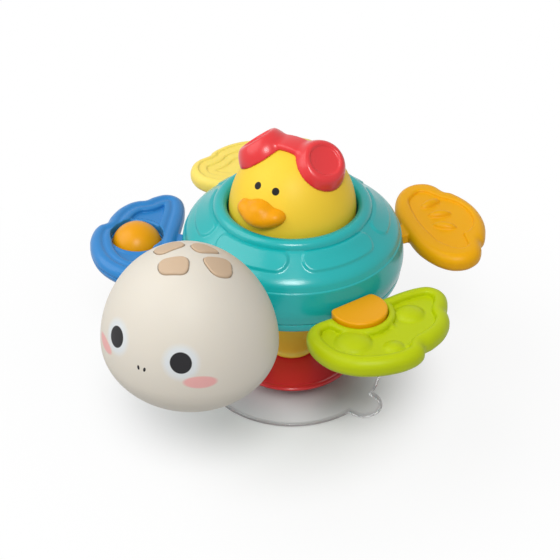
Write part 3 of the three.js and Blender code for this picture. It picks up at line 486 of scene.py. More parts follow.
line = shell_line()
tangent = np.gradient(line, axis=0)
outward = np.stack([-tangent[:, 1], tangent[:, 0]], -1)
outward /= np.linalg.norm(outward, axis=1)[:, None]
outward *= np.where(outward[:, 1:] < 0, -1, 1)
on_slope = (line[:, 0] > 36.4) & (line[:, 0] < 48.6) & (line[:, 1] > 84.5)
sector = np.linspace(-math.pi / 6, math.pi / 6, 97)
vertices = []
for (r, z), normal, carries in zip(line, outward, on_slope):
    lift = np.zeros_like(sector)
    if carries:
        lift = plate_lift(np.full_like(sector, r), np.full_like(sector, z), sector)
    rr = r + normal[0] * lift
    zz = z + normal[1] * lift
    vertices.append(np.stack([rr * np.sin(sector), -rr * np.cos(sector), zz], -1))
rows, columns = len(line), len(sector)
faces = []
for i in range(rows):
    for j in range(columns - 1):
        k = (i + 1) % rows
        faces.append((i * columns + j, i * columns + j + 1, k * columns + j + 1, k * columns + j))
sixth_mesh = bpy.data.meshes.new("shell_sixth")
sixth_mesh.from_pydata([tuple(v) for v in np.concatenate(vertices) * MM], [], faces)
sixth = add_object("shell_top_ring", sixth_mesh)

# One tree turns a pattern round the upright axis, here the shell's sixths
around = bpy.data.node_groups.new("turned_round", "GeometryNodeTree")
given, made = sockets(
    around, {"Geometry": "Geometry", "Count": "Int", "Weld": "Float", "Material": "Material"},
    {"Geometry": "Geometry"},
)
spots = link(around, "GeometryNodePoints", {"Count": given.outputs["Count"]})
index = link(around, "GeometryNodeInputIndex").outputs[0]
step = link(around, "ShaderNodeMath", {
    0: 2 * math.pi, 1: given.outputs["Count"],
}, operation="DIVIDE").outputs[0]
turn = link(around, "ShaderNodeMath", {0: index, 1: step}, operation="MULTIPLY").outputs[0]
spin = link(around, "ShaderNodeCombineXYZ", {"Z": turn}).outputs[0]
copies = link(around, "GeometryNodeInstanceOnPoints", {
    "Points": spots.outputs[0], "Instance": given.outputs["Geometry"], "Rotation": spin,
})
real = link(around, "GeometryNodeRealizeInstances", {"Geometry": copies.outputs[0]})
welded = link(around, "GeometryNodeMergeByDistance", {
    "Geometry": real.outputs[0], "Distance": given.outputs["Weld"],
})
dressed = link(around, "GeometryNodeSetMaterial", {
    "Geometry": welded.outputs[0], "Material": given.outputs["Material"],
})
around.links.new(dressed.outputs[0], made.inputs["Geometry"])


def settle(piece, tree, values, sharp=35):
    # Runs a geometry tree on a piece once and keeps the plain mesh
    modifier = piece.modifiers.new("pattern", "NODES")
    modifier.node_group = tree
    for item in tree.interface.items_tree:
        if item.item_type == "SOCKET" and item.in_out == "INPUT" and item.name in values:
            modifier[item.identifier] = values[item.name]
    bpy.context.view_layer.update()
    mesh = bpy.data.meshes.new_from_object(piece.evaluated_get(bpy.context.evaluated_depsgraph_get()))
    piece.modifiers.clear()
    piece.data = mesh
    edit = bmesh.new()
    edit.from_mesh(mesh)
    bmesh.ops.recalc_face_normals(edit, faces=edit.faces)
    edit.to_mesh(mesh)
    edit.free()
    mesh.shade_smooth()
    mesh.set_sharp_from_angle(angle=math.radians(sharp))


settle(sixth, around, {"Count": 6, "Weld": 2e-6, "Material": teal_plastic}, sharp=45)
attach(sixth, "shell")
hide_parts("shell_top")


# Shell screws
# Four plated pan head screws with a cross recess, sunk into the tray from below. They run up
# into the posts of the shell top and hold the two halves together.

steel, tree, shader = new_material("plated_steel")
shader.inputs["Metallic"].default_value = 1.0
place = link(tree, "ShaderNodeTexCoord").outputs["Object"]
scratch = link(tree, "ShaderNodeTexNoise", {"Vector": place, "Scale": 900.0, "Detail": 4.0}).outputs["Fac"]
tone = link(tree, "ShaderNodeMix", {
    0: scratch, 6: paint(206, 208, 210), 7: paint(170, 172, 176),
}, data_type="RGBA")
tree.links.new(tone.outputs[2], shader.inputs["Base Color"])
worn = link(tree, "ShaderNodeMapRange", {"Value": scratch, "To Min": 0.22, "To Max": 0.42})
tree.links.new(worn.outputs["Result"], shader.inputs["Roughness"])


def screw_form(p):
    radius = np.hypot(p[..., 0], p[..., 1])
    head = np.maximum(radius - 3.0, np.abs(p[..., 2] - 62.0) - 0.6)
    shank = np.maximum(radius - 1.5, np.abs(p[..., 2] - 67) - 4.6)
    cross = np.minimum(
        np.maximum(np.abs(p[..., 0]) - 0.4, np.abs(p[..., 1]) - 1.8),
        np.maximum(np.abs(p[..., 1]) - 0.4, np.abs(p[..., 0]) - 1.8),
    )
    recess = np.maximum(cross, p[..., 2] - 62.1)
    return cut(join(head, shank, 0.3), recess, 0.15)


def spun(p, angle):
    # Points turned about the upright axis
    c, d = math.cos(angle), math.sin(angle)
    return np.stack([p[:, 0] * c - p[:, 1] * d, p[:, 0] * d + p[:, 1] * c, p[:, 2]], -1)


for number, turn in enumerate(screw_angles):
    name = f"shell_screw_{number + 1}"
    screw = moulded(
        name.replace("shell", "sunk"), screw_form, (-3.2, -3.2, 61.2), (3.2, 3.2, 71.8), 0.2,
        place=lambda p, a=math.radians(turn): spun(p - np.array([0, screw_circle, 0]), a),
    )
    screw.data.materials.append(steel)
    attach(screw, "shell")
    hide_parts(name)


# Hidden bearings
# White nylon washers, the neck axle and the duck's plate, with the screws that hold them.
# They are inside the toy and keep their solids.

nylon = plastic("white_nylon", paint(238, 238, 232), gloss=0.4, grain=900.0)
for name in ("spindle_washer", "neck_axle", "neck_washer", "duck_plate", "spindle_screw", "neck_screw"):
    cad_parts[name].data.materials.clear()
    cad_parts[name].data.materials.append(steel if name.endswith("screw") else nylon)


# Duck body
# A hollow hard plastic dome that turns in the well, on a plate inside the shell. Its two black
# eyes are pad printed.

duck_radius, dome_start, dome_height = 29.0, 94.0, 33.0
duck_turn = math.radians(-3.5)


def dome_point(t, grow=0.0):
    r = (duck_radius + grow) * math.cos(t)
    return (r if t < math.pi / 2 - 1e-6 else 0, dome_start + (dome_height + grow) * math.sin(t))


def look_aside(p):
    # Turns a piece of the duck with the duck, which looks a little past the turtle's head
    return spun(p, duck_turn)


# A printed spot: an oval laid on the surface, with its own middle, turn, half sizes and soft edge
spot = bpy.data.node_groups.new("printed_spot", "ShaderNodeTree")
given, made = sockets(
    spot, {"Middle": "Vector", "Turn": "Vector", "Size": "Vector", "Soft": "Float"}, {"Mask": "Float"},
)
place = link(spot, "ShaderNodeTexCoord").outputs["Object"]
laid = link(spot, "ShaderNodeMapping", {
    "Vector": place, "Location": given.outputs["Middle"], "Rotation": given.outputs["Turn"],
    "Scale": given.outputs["Size"],
}, vector_type="TEXTURE")
far = link(spot, "ShaderNodeVectorMath", {0: laid.outputs[0]}, operation="LENGTH").outputs["Value"]
inner = link(spot, "ShaderNodeMath", {0: 1.0, 1: given.outputs["Soft"]}, operation="SUBTRACT").outputs[0]
shown = link(spot, "ShaderNodeMapRange", {
    "Value": far, "From Min": inner, "From Max": 1.0, "To Min": 1.0, "To Max": 0.0,
})
spot.links.new(shown.outputs["Result"], made.inputs["Mask"])


def print_on(material, middle, normal, size, colour, soft=0.06, strength=1.0, lean=0.0):
    # Lays one printed oval over the colour that the material has so far
    nodes = material.node_tree
    surface = nodes.nodes["Principled BSDF"]
    out = Vector(normal).normalized()
    level = Vector((0, 0, 1)).cross(out).normalized()
    level = Matrix.Rotation(math.radians(lean), 3, out) @ level
    up = out.cross(level)
    turn = Matrix((level, up, out)).transposed().to_euler("XYZ")
    oval = link(nodes, "ShaderNodeGroup", {
        "Middle": [c * MM for c in middle], "Turn": turn, "Size": [c * MM for c in size], "Soft": soft,
    }, node_tree=spot)
    amount = oval.outputs["Mask"]
    if strength < 1:
        amount = link(nodes, "ShaderNodeMath", {0: amount, 1: strength}, operation="MULTIPLY").outputs[0]
    under = surface.inputs["Base Color"].links[0].from_socket
    over = link(nodes, "ShaderNodeMix", {0: amount, 6: under, 7: colour}, data_type="RGBA")
    nodes.links.new(over.outputs[2], surface.inputs["Base Color"])


duck_yellow = plastic("duck_yellow_plastic", paint(246, 208, 60), gloss=0.4, soft=0.1, shine=0.2)
for side in (-1, 1):
    eye = look_aside(np.array([[side * 4.55, -21.4, 115.7]]))[0]
    out = (eye[0] / duck_radius ** 2, eye[1] / duck_radius ** 2, (eye[2] - dome_start) / dome_height ** 2)
    print_on(duck_yellow, eye, out, (1.8, 1.85, 4), paint(8, 7, 7), soft=0.12)
duck_wall, duck_foot = 2.2, 82.0
dome = [dome_point(t) for t in np.linspace(0, math.pi / 2, 60)]
hollow = [dome_point(t, -duck_wall) for t in np.linspace(math.pi / 2, 0, 24)]
skirt = [(duck_radius, duck_foot), (duck_radius, 88)]
duck_body = turned("duck_body", skirt + dome + hollow + [(duck_radius - duck_wall, duck_foot)], count=200)
duck_body.data.materials.append(duck_yellow)
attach(duck_body, "duck")
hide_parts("duck_body")


# Duck bill
# A plump hard plastic bill with a lobe at each end and a soft bump between them, moulded on
# its own and snapped into the dome.

def dome_form(p, grow=0.0):
    radius = np.hypot(p[..., 0], p[..., 1]) / (duck_radius + grow)
    height = np.maximum(p[..., 2] - dome_start, 0) / (dome_height + grow)
    return (np.hypot(radius, height) - 1) * 30


def egg(p, middle, half):
    q = p - np.asarray(middle, float)
    half = np.asarray(half, float)
    near = np.linalg.norm(q / half, axis=-1)
    return near * (near - 1) / np.maximum(np.linalg.norm(q / half ** 2, axis=-1), 1e-9)


def bill_form(p):
    body = egg(p, (0, -25.4, 104.9), (9.6, 7.9, 5.6))
    mirrored = np.stack([np.abs(p[..., 0]), p[..., 1], p[..., 2]], -1)
    lobe = egg(mirrored, (7.9, -24.9, 106.3), (3.9, 5.0, 3.2))
    bump = egg(p, (0, -25.0, 108.7), (4.6, 6.0, 3.1))
    form = join(join(body, lobe, 2.6), bump, 2.8)
    return np.maximum(form, 0.25 - dome_form(p))


bill_amber = plastic("amber_bill_plastic", paint(238, 160, 0), gloss=0.3, soft=0.08, shine=0.2)
bill = moulded("duck_bill_form", bill_form, (-13.5, -36, 99), (13.5, -18, 114), 0.35, place=look_aside)
bill.data.materials.append(bill_amber)
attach(bill, "duck")
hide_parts("duck_bill")


# Goggles
# Two glossy red cups on a band over the duck's crown. They are one hard plastic moulding,
# clipped to the dome.

lens_at = (17.6, -1.8, 126.0)
lens_aside, lens_forward, lens_outward = -12, 9, 38
bell_radius, bell_depth, lens_radius = 11.8, 8.0, 7.4


def goggle_cup(p, side):
    # A bell that widens towards the dome, with a thin round rim and a sunk lens; the cups look aside
    turn = Matrix.Rotation(math.radians(lens_aside), 3, "Z")
    turn = turn @ Matrix.Rotation(math.radians(lens_forward), 3, "X")
    turn = turn @ Matrix.Rotation(math.radians(lens_outward * side), 3, "Y")
    middle = np.array([side * lens_at[0], lens_at[1], lens_at[2]])
    local = (p - middle) @ np.array(turn)
    rho = np.hypot(local[..., 0], local[..., 1])
    deep = local[..., 2]
    bell = np.sqrt(rho ** 2 + (deep + bell_depth) ** 2) - bell_radius
    skirt = np.array(turn) @ np.array([0, 0, -bell_depth]) + middle
    flare = np.linalg.norm(p - skirt - np.array([side * 0.3, -1.5, -2.2]), axis=-1) - bell_radius + 0.4
    bell = join(bell, flare, 2.0)
    bell = -join(-bell, -deep, 1.1)
    lens = np.maximum((rho - lens_radius - deep) * 0.71, -deep - 1.3 + 0.01 * rho ** 2)
    return cut(bell, lens, 0.35), rho - deep


def goggles_form(p):
    right, right_lens = goggle_cup(p, 1)
    left, left_lens = goggle_cup(p, -1)
    strap = -join(-dome_form(p, 2.5), -(np.abs(p[..., 1] + 0.6) - 5.6), 1.5)
    strap = np.maximum(strap, np.maximum(6.5 - right_lens, 6.5 - left_lens))
    strap = np.maximum(strap, np.abs(p[..., 0]) - 14)
    form = join(join(right, left, 0.1), strap, 1.3)
    return cut(form, dome_form(p, 0.3), 0.3)


goggle_red = plastic("red_goggle_plastic", paint(226, 48, 52), gloss=0.24, coat=0.15, shine=0.4)
goggles = moulded("duck_goggles_form", goggles_form, (-29, -17, 104), (29, 15, 134), 0.4, place=look_aside)
goggles.data.materials.append(goggle_red)
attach(goggles, "duck")
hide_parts("duck_goggles")


# Head
# A hollow egg of satin hard plastic in two halves, with a fine seam low down. The eyes, their
# pale rings, the nostrils and the cheeks are pad printed.

head_half = (36.8, 34.9)
head_above, head_below, head_fullness = 42.5, 26.0, 1.89
head_middle = (0, -88.1, 81.1)
head_seam, head_wall = 63.6, 2.4


def head_point(t, grow=0.0):
    power = 2 / head_fullness
    c = max(math.cos(t), 0) ** power
    s = math.copysign(abs(math.sin(t)) ** power, t)
    height = head_above if t >= 0 else head_below
    return ((head_half[0] + grow) * (c if abs(t) < math.pi / 2 - 1e-6 else 0), (height + grow) * s)


def head_normal(x, y, z):
    n = head_fullness
    u = math.hypot(x / head_half[0], (y - head_middle[1]) / head_half[1])
    rise = z - head_middle[2]
    tall = head_above if rise > 0 else head_below
    side = u ** (n - 2)
    return (
        side * x / head_half[0] ** 2, side * (y - head_middle[1]) / head_half[1] ** 2,
        math.copysign((abs(rise) / tall) ** (n - 1) / tall, rise),
    )


def seam_turn(level, grow=0.0):
    return -math.asin(((head_middle[2] - level) / (head_below + grow)) ** (head_fullness / 2))


cream = plastic("cream_satin_plastic", paint(217, 210, 197), gloss=0.45, shade=0.06, grain=1100.0, soft=0.12)
face_lean = -2.3
for side in (-1, 1):
    eye = (15.2, -117.3, 95.7) if side > 0 else (-14.6, -117.5, 97.0)
    cheek = (side * 22.4, -115.4, 88.4 - 0.8 * side)
    nostril = (side * 1.4, -122.4, 90.4)
    halo = paint(212, 217, 220)
    blush = paint(228, 160, 158)
    ink = paint(26, 25, 28)
    print_on(cream, eye, head_normal(*eye), (8.0, 8.2, 14), halo, soft=0.3, strength=0.85, lean=face_lean)
    print_on(
        cream, cheek, head_normal(*cheek), (7.2, 2.9, 14), blush, soft=0.2, strength=0.85, lean=face_lean,
    )
    print_on(cream, eye, head_normal(*eye), (4.35, 4.5, 9), ink, soft=0.05)
    print_on(cream, nostril, head_normal(*nostril), (0.62, 1.1, 4), ink, soft=0.2, lean=-12 * side)

inner_seam = seam_turn(head_seam + 0.3, -head_wall)
upper = [head_point(t) for t in np.linspace(seam_turn(head_seam + 0.4), math.pi / 2, 72)]
upper_inside = [head_point(t, -head_wall) for t in np.linspace(math.pi / 2, inner_seam, 30)]
lip = np.array(upper[0]) + np.array([-0.35, -0.3])
head_depth = head_half[1] / head_half[0]
head_top = turned(
    "head_upper_half", [tuple(lip)] + upper + upper_inside, count=200, depth=head_depth, middle=head_middle,
)
inner_seam = seam_turn(head_seam - 0.3, -head_wall)
lower = [head_point(t) for t in np.linspace(-math.pi / 2, seam_turn(head_seam - 0.4), 30)]
lower_inside = [head_point(t, -head_wall) for t in np.linspace(inner_seam, -math.pi / 2, 16)]
lip = np.array(lower[-1]) + np.array([-0.35, 0.3])
head_bottom = turned(
    "head_lower_half", lower + [tuple(lip)] + lower_inside, count=200, depth=head_depth, middle=head_middle,
)
for half, node in ((head_top, "head_top"), (head_bottom, "head_bottom")):
    half.data.materials.append(cream)
    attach(half, "head")
    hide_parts(node)


# Crown pads
# Four thin taupe pads of hard plastic with round corners, set into pockets of the head like a
# turtle's scales.

def head_form(p):
    u = np.hypot(p[..., 0] / head_half[0], (p[..., 1] - head_middle[1]) / head_half[1])
    rise = p[..., 2] - head_middle[2]
    tall = np.where(rise > 0, head_above, head_below)
    full = (u ** head_fullness + np.abs(rise / tall) ** head_fullness) ** (1 / head_fullness)
    return (full - 1) * 38


taupe = plastic("taupe_satin_plastic", paint(200, 174, 146), gloss=0.45, shade=0.08, grain=1100.0, soft=0.08)
pad_corners = {
    "head_pad_front": [(-8, -95.2), (2.8, -89.2), (7.2, -97), (-3.6, -101.2)],
    "head_pad_right": [(6.2, -87), (13.8, -76.8), (19.6, -85), (15, -91.2)],
    "head_pad_back": [(-2.4, -81.8), (0.2, -76.2), (10, -76.4), (4.2, -85.8)],
    "head_pad_left": [(-16.2, -87.6), (-8.8, -79.6), (-2, -83), (-8.8, -92.8)],
}
for node, corners in pad_corners.items():
    shape = softened([(x, y, 4.0) for x, y in corners], steps=8, closed=True)
    edge_of_pad = outline_distance(shape, margin=4)

    def pad_form(p, around_it=edge_of_pad):
        skin_depth = head_form(p)
        plan = around_it(p[..., 0], p[..., 1])
        sheet = np.maximum(skin_depth - 0.55, -skin_depth - 0.7)
        return -join(-plan, -sheet, 0.6)

    def pocket_form(p, around_it=edge_of_pad):
        skin_depth = head_form(p)
        plan = around_it(p[..., 0], p[..., 1]) - 0.3
        return np.maximum(plan, np.maximum(skin_depth - 2, -skin_depth - 0.9))

    low = np.append(shape.min(0) - 0.5, 111)
    high = np.append(shape.max(0) + 0.5, 127)
    pocket = moulded("pocket", pocket_form, low, high, 0.5)
    carve(head_top, pocket)
    pad = moulded(node.replace("head", "crown"), pad_form, low, high, 0.3)
    pad.data.materials.append(taupe)
    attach(pad, "head")
    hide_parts(node)


# Blue flipper
# Two hard plastic halves that make a cage for the ball, with a rolled edge, a stepped field and
# a raised ring round the ball's opening. Its arm passes through the shell wall.

flipper_low, flipper_high, edge_round = 64.6, 74.0, 4.2
flipper_half = (flipper_high - flipper_low) / 2
flipper_level = (flipper_high + flipper_low) / 2
flipper_tip = math.radians(-4)
arm_root, arm_level = 50.9, 69.05
shell_side = 52.0
front_shape = [
    (-24, 0.8), (-30, 3.5), (-33.6, 9), (-35, 17), (-33.4, 26), (-28, 34.5), (-20, 40.5), (-11, 44),
    (-3.5, 44.6), (1.4, 43.2), (4.4, 40.2), (10, 39.6), (17, 37.5), (23, 33.6), (26.2, 29.4), (27.6, 26),
    (31, 23), (34.6, 18), (35.2, 12.5), (32.6, 7.6), (27.5, 5), (20, 3.6), (12, 3.2), (0, 2.8), (-12, 1.8),
]


def smooth_loop(points, count):
    # A closed curve through the points, evenly rounded between them
    points = np.asarray(points, float)
    before, after, beyond = np.roll(points, 1, 0), np.roll(points, -1, 0), np.roll(points, -2, 0)
    result = []
    for p0, p1, p2, p3 in zip(before, points, after, beyond):
        for t in np.linspace(0, 1, count, endpoint=False):
            result.append(0.5 * (
                2 * p1 + (p2 - p0) * t + (2 * p0 - 5 * p1 + 4 * p2 - p3) * t ** 2
                + (3 * p1 - p0 - 3 * p2 + p3) * t ** 3
            ))
    return np.array(result)


def flipper_outline(shape, side=1):
    return outline_distance(smooth_loop([(side * s, -shell_side - out) for s, out in shape], 8), margin=8)


def fan(plan, z, trim=0.06):
    # A thick sheet with a fully rolled edge, trimmed a hair inside its outline
    a = plan + edge_round + trim
    b = np.abs(z - flipper_level) - flipper_half + edge_round
    return np.hypot(np.maximum(a, 0), np.maximum(b, 0)) + np.minimum(np.maximum(a, b), 0) - edge_round


def arm_form(p, reach):
    # The flat arm that goes through the shell wall
    x = np.abs(p[..., 0]) - 4.5
    y = np.maximum(-p[..., 1] - reach, p[..., 1] + 47.5)
    z = np.abs(p[..., 2] - arm_level) - 2.5
    return -join(-np.maximum(x, y), -z, 0.6)


def set_out(angle):
    # Tips a flipper up where its arm leaves the shell and turns it to its place
    c, d = math.cos(flipper_tip), math.sin(flipper_tip)

    def place(p):
        y = p[:, 1] + arm_root
        z = p[:, 2] - arm_level
        tipped = np.stack([p[:, 0], y * c - z * d - arm_root, y * d + z * c + arm_level], -1)
        return spun(tipped, math.radians(angle))

    return place


blue_angle, blue_reach = -69, 0.955
blue_plan = flipper_outline([(s, blue_reach * out) for s, out in front_shape], -1)
ball_at = np.array([3.0, -73.5, 66.5])
ball_radius = 11.9


def blue_form(p):
    plan = blue_plan(p[..., 0], p[..., 1])
    z = p[..., 2]
    ring = np.hypot(p[..., 0] - ball_at[0], p[..., 1] - ball_at[1])
    form = fan(plan, z)
    groove = np.hypot(plan + 6.2, z - flipper_high - 0.5) - 1.1
    form = cut(form, groove, 0.9)
    field = np.maximum(plan + 10.2, flipper_high - 2.0 - z)
    form = cut(form, field, 1.4)
    under = np.maximum(plan + 6.0, z - flipper_low - 2.4)
    form = cut(form, under, 1.0)
    collar = np.hypot(ring - 13.5, np.maximum(z - flipper_high + 2.2, 0)) - 0.9
    collar = np.maximum(collar, flipper_low + 1 - z)
    form = join(form, collar, 0.8)
    form = join(form, arm_form(p, 58), 0.8)
    seat = np.linalg.norm(p - ball_at, axis=-1) - ball_radius - 0.4
    hole = np.maximum(ring - 12.4, flipper_level - z)
    return cut(cut(form, hole, 0.5), seat, 0.4)


def blue_upper(p):
    return cut(blue_form(p), p[..., 2] - flipper_level - 0.12, 0.3)


def blue_lower(p):
    return cut(blue_form(p), flipper_level - 0.12 - p[..., 2], 0.3)


blue_plastic = plastic("blue_satin_plastic", paint(44, 130, 198), gloss=0.26, coat=0.05)
for node, form, low, high in (
        ("blue_flipper_top", blue_upper, 69, 75.5), ("blue_flipper_bottom", blue_lower, 64, 69.5)):
    half = moulded(
        node.replace("flipper", "cage"), form, (-36, -97, low), (36, -46, high), 0.5,
        place=set_out(blue_angle),
    )
    half.data.materials.append(blue_plastic)
    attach(half, "shell")
    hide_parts(node)


# Ball
# A hollow amber ball of two welded hard plastic halves, with a faint weld line. It is loose in
# the blue cage.

amber = plastic("amber_ball_plastic", paint(236, 160, 0), gloss=0.28, soft=0.08, shine=0.25)
weld_depth, weld_width = 0.12, 0.018
turns = np.concatenate([
    np.linspace(-math.pi / 2, -0.06, 40), np.linspace(-0.05, 0.05, 9), np.linspace(0.06, math.pi / 2, 40),
])
weld = weld_depth * np.exp(-(turns / weld_width) ** 2)
girth = np.stack([ball_radius * np.cos(turns) - weld, ball_radius * np.sin(turns)], -1)
girth[0] = (0, -ball_radius)
girth[-1] = (0, ball_radius)
ball_centre = set_out(blue_angle)(ball_at[None])[0]
ball = turned("amber_ball", girth, count=120, middle=ball_centre)
ball.data.materials.append(amber)
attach(ball, "ball")
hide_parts("roller_ball")


# Green flipper
# Soft rubber with a thick rolled rim, a sunk thin field, and pop domes of several sizes that
# fingers press. It hugs the orange clip at the shell.

green_angle = 62.5
green_plan = flipper_outline(front_shape)
pop_domes = ((13.6, 18.4, 6.4), (-18.5, 20.8, 8.0), (-6.7, 33.2, 4.3), (1.6, 20.9, 1.7), (-0.8, 36.8, 1.6))
clip_at = (-4.7, -58.7)
clip_radius = 12.2


def green_form(p):
    plan = green_plan(p[..., 0], p[..., 1])
    z = p[..., 2]
    near_clip = np.hypot(p[..., 0] - clip_at[0], p[..., 1] - clip_at[1])
    form = fan(plan, z)
    inside = np.maximum(plan + 6.2, clip_radius + 3.4 - near_clip)
    form = cut(form, np.maximum(inside, flipper_high - 2.6 - z), 2.2)
    form = cut(form, np.maximum(inside, z - flipper_low - 4.0), 1.0)
    for s, out, size in pop_domes:
        dome_shape = egg(p, (s, -shell_side - out, flipper_high - 3.2), (size, size, 0.9 + 0.32 * size))
        form = join(form, dome_shape, 0.9)
    return cut(form, near_clip - clip_radius - 0.3, 0.6)


green_rubber = plastic(
    "green_soft_rubber", paint(186, 202, 4), shine=0.2, gloss=0.36, grain=900.0, relief=0.08, soft=0.15,
)
green = moulded(
    "green_pop_flipper", green_form, (-36, -97, 64), (36, -52, 75), 0.5, place=set_out(green_angle),
)
green.data.materials.append(green_rubber)
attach(green, "shell")
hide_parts("green_flipper")


# Clip
# A hard plastic disc, cut straight along the shell, with the green flipper round it. Its arm
# goes through a slot in the shell wall.

def clip_form(p):
    near_clip = np.hypot(p[..., 0] - clip_at[0], p[..., 1] - clip_at[1]) - clip_radius
    plan = -join(-near_clip, -(p[..., 1] + shell_side + 0.6), 1.2)
    z = np.abs(p[..., 2] - 71.2) - 4.7
    disc = -join(-plan, -z, 1.0)
    return join(disc, arm_form(p, 58), 0.6)


clip_orange = plastic("orange_clip_plastic", paint(236, 164, 0), gloss=0.26, shine=0.25)
clip = moulded("orange_clip", clip_form, (-18, -72, 66), (9, -46, 76.2), 0.4, place=set_out(green_angle))
clip.data.materials.append(clip_orange)
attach(clip, "shell")
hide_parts("green_clip")


# Orange flipper
# Soft rubber leaf with a broad rolled border, a sunk field with its own lobes and three long
# finger bumps. It is one moulding with the arm that goes through the shell wall.

orange_angle = 134.5
finger_bumps = ((14, 22.5, 17), (4, 23.3, -10), (-5.8, 22, -34))
rear_half = [
    (12, 4.4), (20, 6.4), (27.5, 10.2), (32.4, 15.4), (34, 22), (32, 28), (28, 31.4), (22.4, 33.6),
    (19.6, 36.6), (13.5, 39.8), (6.8, 41.8),
]
rear_shape = [(0, 4)] + rear_half + [(0, 42.4)] + [(-s, out) for s, out in rear_half[::-1]]
rear_plan = flipper_outline(rear_shape)
leaf_field = flipper_outline([
    (23.7, 17.5), (19.6, 13.7), (12, 12.3), (1.5, 11.9), (-8.3, 12.9), (-16, 14.5), (-22.4, 18.3),
    (-25.2, 21.8), (-25, 25.1), (-22.7, 26.7), (-17.9, 27.3), (-14.6, 27.9), (-14, 30.4), (-10.8, 34.1),
    (-7, 36.2), (-1.2, 37.2), (4.8, 36.8), (10.3, 34.8), (14.2, 31.8), (17, 29), (20.5, 26.9), (24.1, 24.2),
    (25.4, 20.8),
])


def orange_form(p):
    plan = rear_plan(p[..., 0], p[..., 1])
    z = p[..., 2]
    form = fan(plan, z)
    field = np.maximum(leaf_field(p[..., 0], p[..., 1]), flipper_high - 1.5 - z)
    form = cut(form, field, 1.6)
    for s, out, lean in finger_bumps:
        c, d = math.cos(math.radians(lean)), math.sin(math.radians(lean))
        dx = p[..., 0] - s
        dy = p[..., 1] + shell_side + out
        q = np.stack([dx * c + dy * d, dy * c - dx * d, z], -1)
        form = join(form, egg(q, (0, 0, flipper_high - 1.6), (2.4, 5.5, 2.5)), 0.6)
    return join(form, arm_form(p, 60), 0.8)


orange_rubber = plastic(
    "orange_soft_rubber", paint(240, 172, 0), shine=0.2, gloss=0.34, grain=900.0, relief=0.08, soft=0.15,
)
orange = moulded(
    "orange_leaf_flipper", orange_form, (-35, -95, 64), (35, -46, 75), 0.5, place=set_out(orange_angle),
)
orange.data.materials.append(orange_rubber)
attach(orange, "shell")
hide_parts("orange_flipper")


# Yellow flipper
# Soft rubber with wavy terraces that step down inside each other. It is one moulding with the
# arm that goes through the shell wall.

yellow_angle, yellow_reach = -137, 1.06
terrace_step, terrace_drop = 4.3, 0.8
long_shape = [(s, yellow_reach * out) if out > 4 else (s, out) for s, out in rear_shape]
long_plan = flipper_outline(long_shape)


def yellow_form(p):
    plan = long_plan(p[..., 0], p[..., 1])
    z = p[..., 2]
    form = fan(plan, z)
    for number in (1, 2, 3):
        terrace = np.maximum(plan + terrace_step * number, flipper_high - terrace_drop * number - z)
        form = cut(form, terrace, 0.9)
    return join(form, arm_form(p, 60), 0.8)


yellow_rubber = plastic(
    "yellow_soft_rubber", paint(252, 226, 108), gloss=0.36, grain=900.0, relief=0.08, soft=0.15,
)
yellow = moulded(
    "yellow_wave_flipper", yellow_form, (-35, -98, 64), (35, -46, 75), 0.5, place=set_out(yellow_angle),
)
yellow.data.materials.append(yellow_rubber)
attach(yellow, "shell")
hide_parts("yellow_flipper")


# Camera
# The photograph's view: 29 degrees round from the head, 37 degrees above the table.

camera_data = bpy.data.cameras.new("photo_view")
camera_data.sensor_width = 36
camera_data.lens = 74.24
camera = add_object("photo_view", camera_data)
aim = Vector((-0.0050, -0.0027, 0.0531))
camera.location = Vector((0.2077, -0.3895, 0.3813))
camera.rotation_euler = (aim - camera.location).to_track_quat("-Z", "Y").to_euler()
bpy.context.scene.camera = camera


# Floor and light
# A pale floor that goes white away from the toy, one soft light over the camera, a broad one
# from the left, and an even sky that is white where it is seen.

def open_views(tree):
    # Two masks: rays from the camera, and those with the ones that gloss and clear plastic send on
    rays = link(tree, "ShaderNodeLightPath").outputs
    shown = rays["Is Camera Ray"]
    for kind in ("Is Glossy Ray", "Is Transmission Ray"):
        shown = link(tree, "ShaderNodeMath", {0: shown, 1: rays[kind]}, operation="MAXIMUM").outputs[0]
    return rays["Is Camera Ray"], shown


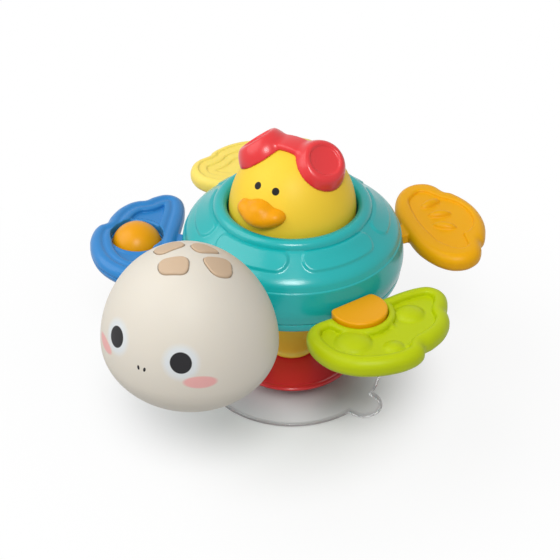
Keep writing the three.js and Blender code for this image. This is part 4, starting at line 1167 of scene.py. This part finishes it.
floor_reach, floor_level = 20, -0.0002
fade_middle = (-0.007, -0.013, 0)
floor_mesh = bpy.data.meshes.new("floor")
floor_corners = ((-1, -1), (1, -1), (1, 1), (-1, 1))
floor_mesh.from_pydata(
    [(floor_reach * x, floor_reach * y, floor_level) for x, y in floor_corners], [], [(0, 1, 2, 3)])
floor = add_object("floor", floor_mesh)
floor_paint, tree, shader = new_material("pale_floor")
tree.nodes.remove(shader)
place = link(tree, "ShaderNodeTexCoord").outputs["Object"]
far = link(tree, "ShaderNodeVectorMath", {0: place, 1: fade_middle}, operation="DISTANCE").outputs["Value"]
near_fade = link(tree, "ShaderNodeMapRange", {
    "Value": far, "From Min": 0.036, "From Max": 0.095, "To Min": 0.0, "To Max": 0.82,
}, interpolation_type="SMOOTHSTEP")
far_fade = link(tree, "ShaderNodeMapRange", {
    "Value": far, "From Min": 0.08, "From Max": 0.22, "To Min": 0.0, "To Max": 0.18,
}, interpolation_type="SMOOTHSTEP")
fade = link(tree, "ShaderNodeMath", {0: near_fade.outputs[0], 1: far_fade.outputs[0]}, operation="ADD")
from_camera, shown = open_views(tree)
white = link(tree, "ShaderNodeMath", {0: shown, 1: fade.outputs[0]}, operation="MULTIPLY")
pale = link(tree, "ShaderNodeMix", {
    0: from_camera, 6: (0.5, 0.5, 0.5, 1), 7: (0.9, 0.9, 0.9, 1),
}, data_type="RGBA")
ground = link(tree, "ShaderNodeBsdfDiffuse", {"Color": pale.outputs[2]})
glow = link(tree, "ShaderNodeEmission", {"Color": (1, 1, 1, 1), "Strength": 1.0})
mixed = link(tree, "ShaderNodeMixShader", {0: white.outputs[0], 1: ground.outputs[0], 2: glow.outputs[0]})
tree.links.new(mixed.outputs[0], tree.nodes["Material Output"].inputs["Surface"])
floor.data.materials.append(floor_paint)


toy_middle = Vector((0, 0, 0.07))


def soft_light(name, position, size, power):
    data = bpy.data.lights.new(name, "AREA")
    data.shape = "DISK"
    data.size = size
    data.energy = power
    lamp = add_object(name, data)
    lamp.location = position
    lamp.rotation_euler = (toy_middle - Vector(position)).to_track_quat("-Z", "Y").to_euler()


soft_light("over_camera", (0.31, -0.56, 0.87), 0.34, 5.2)
soft_light("left_window", (-0.85, -0.5, 1.0), 1.4, 10.5)
world = bpy.data.worlds.new("studio")
bpy.context.scene.world = world
world.use_nodes = True
background = world.node_tree.nodes["Background"]
background.inputs["Color"].default_value = (1, 1, 1, 1)
tree = world.node_tree
shown = open_views(tree)[1]
sky = link(tree, "ShaderNodeMapRange", {"Value": shown, "To Min": 0.36, "To Max": 1.0})
tree.links.new(sky.outputs[0], background.inputs["Strength"])
bpy.context.scene.view_settings.view_transform = "Standard"
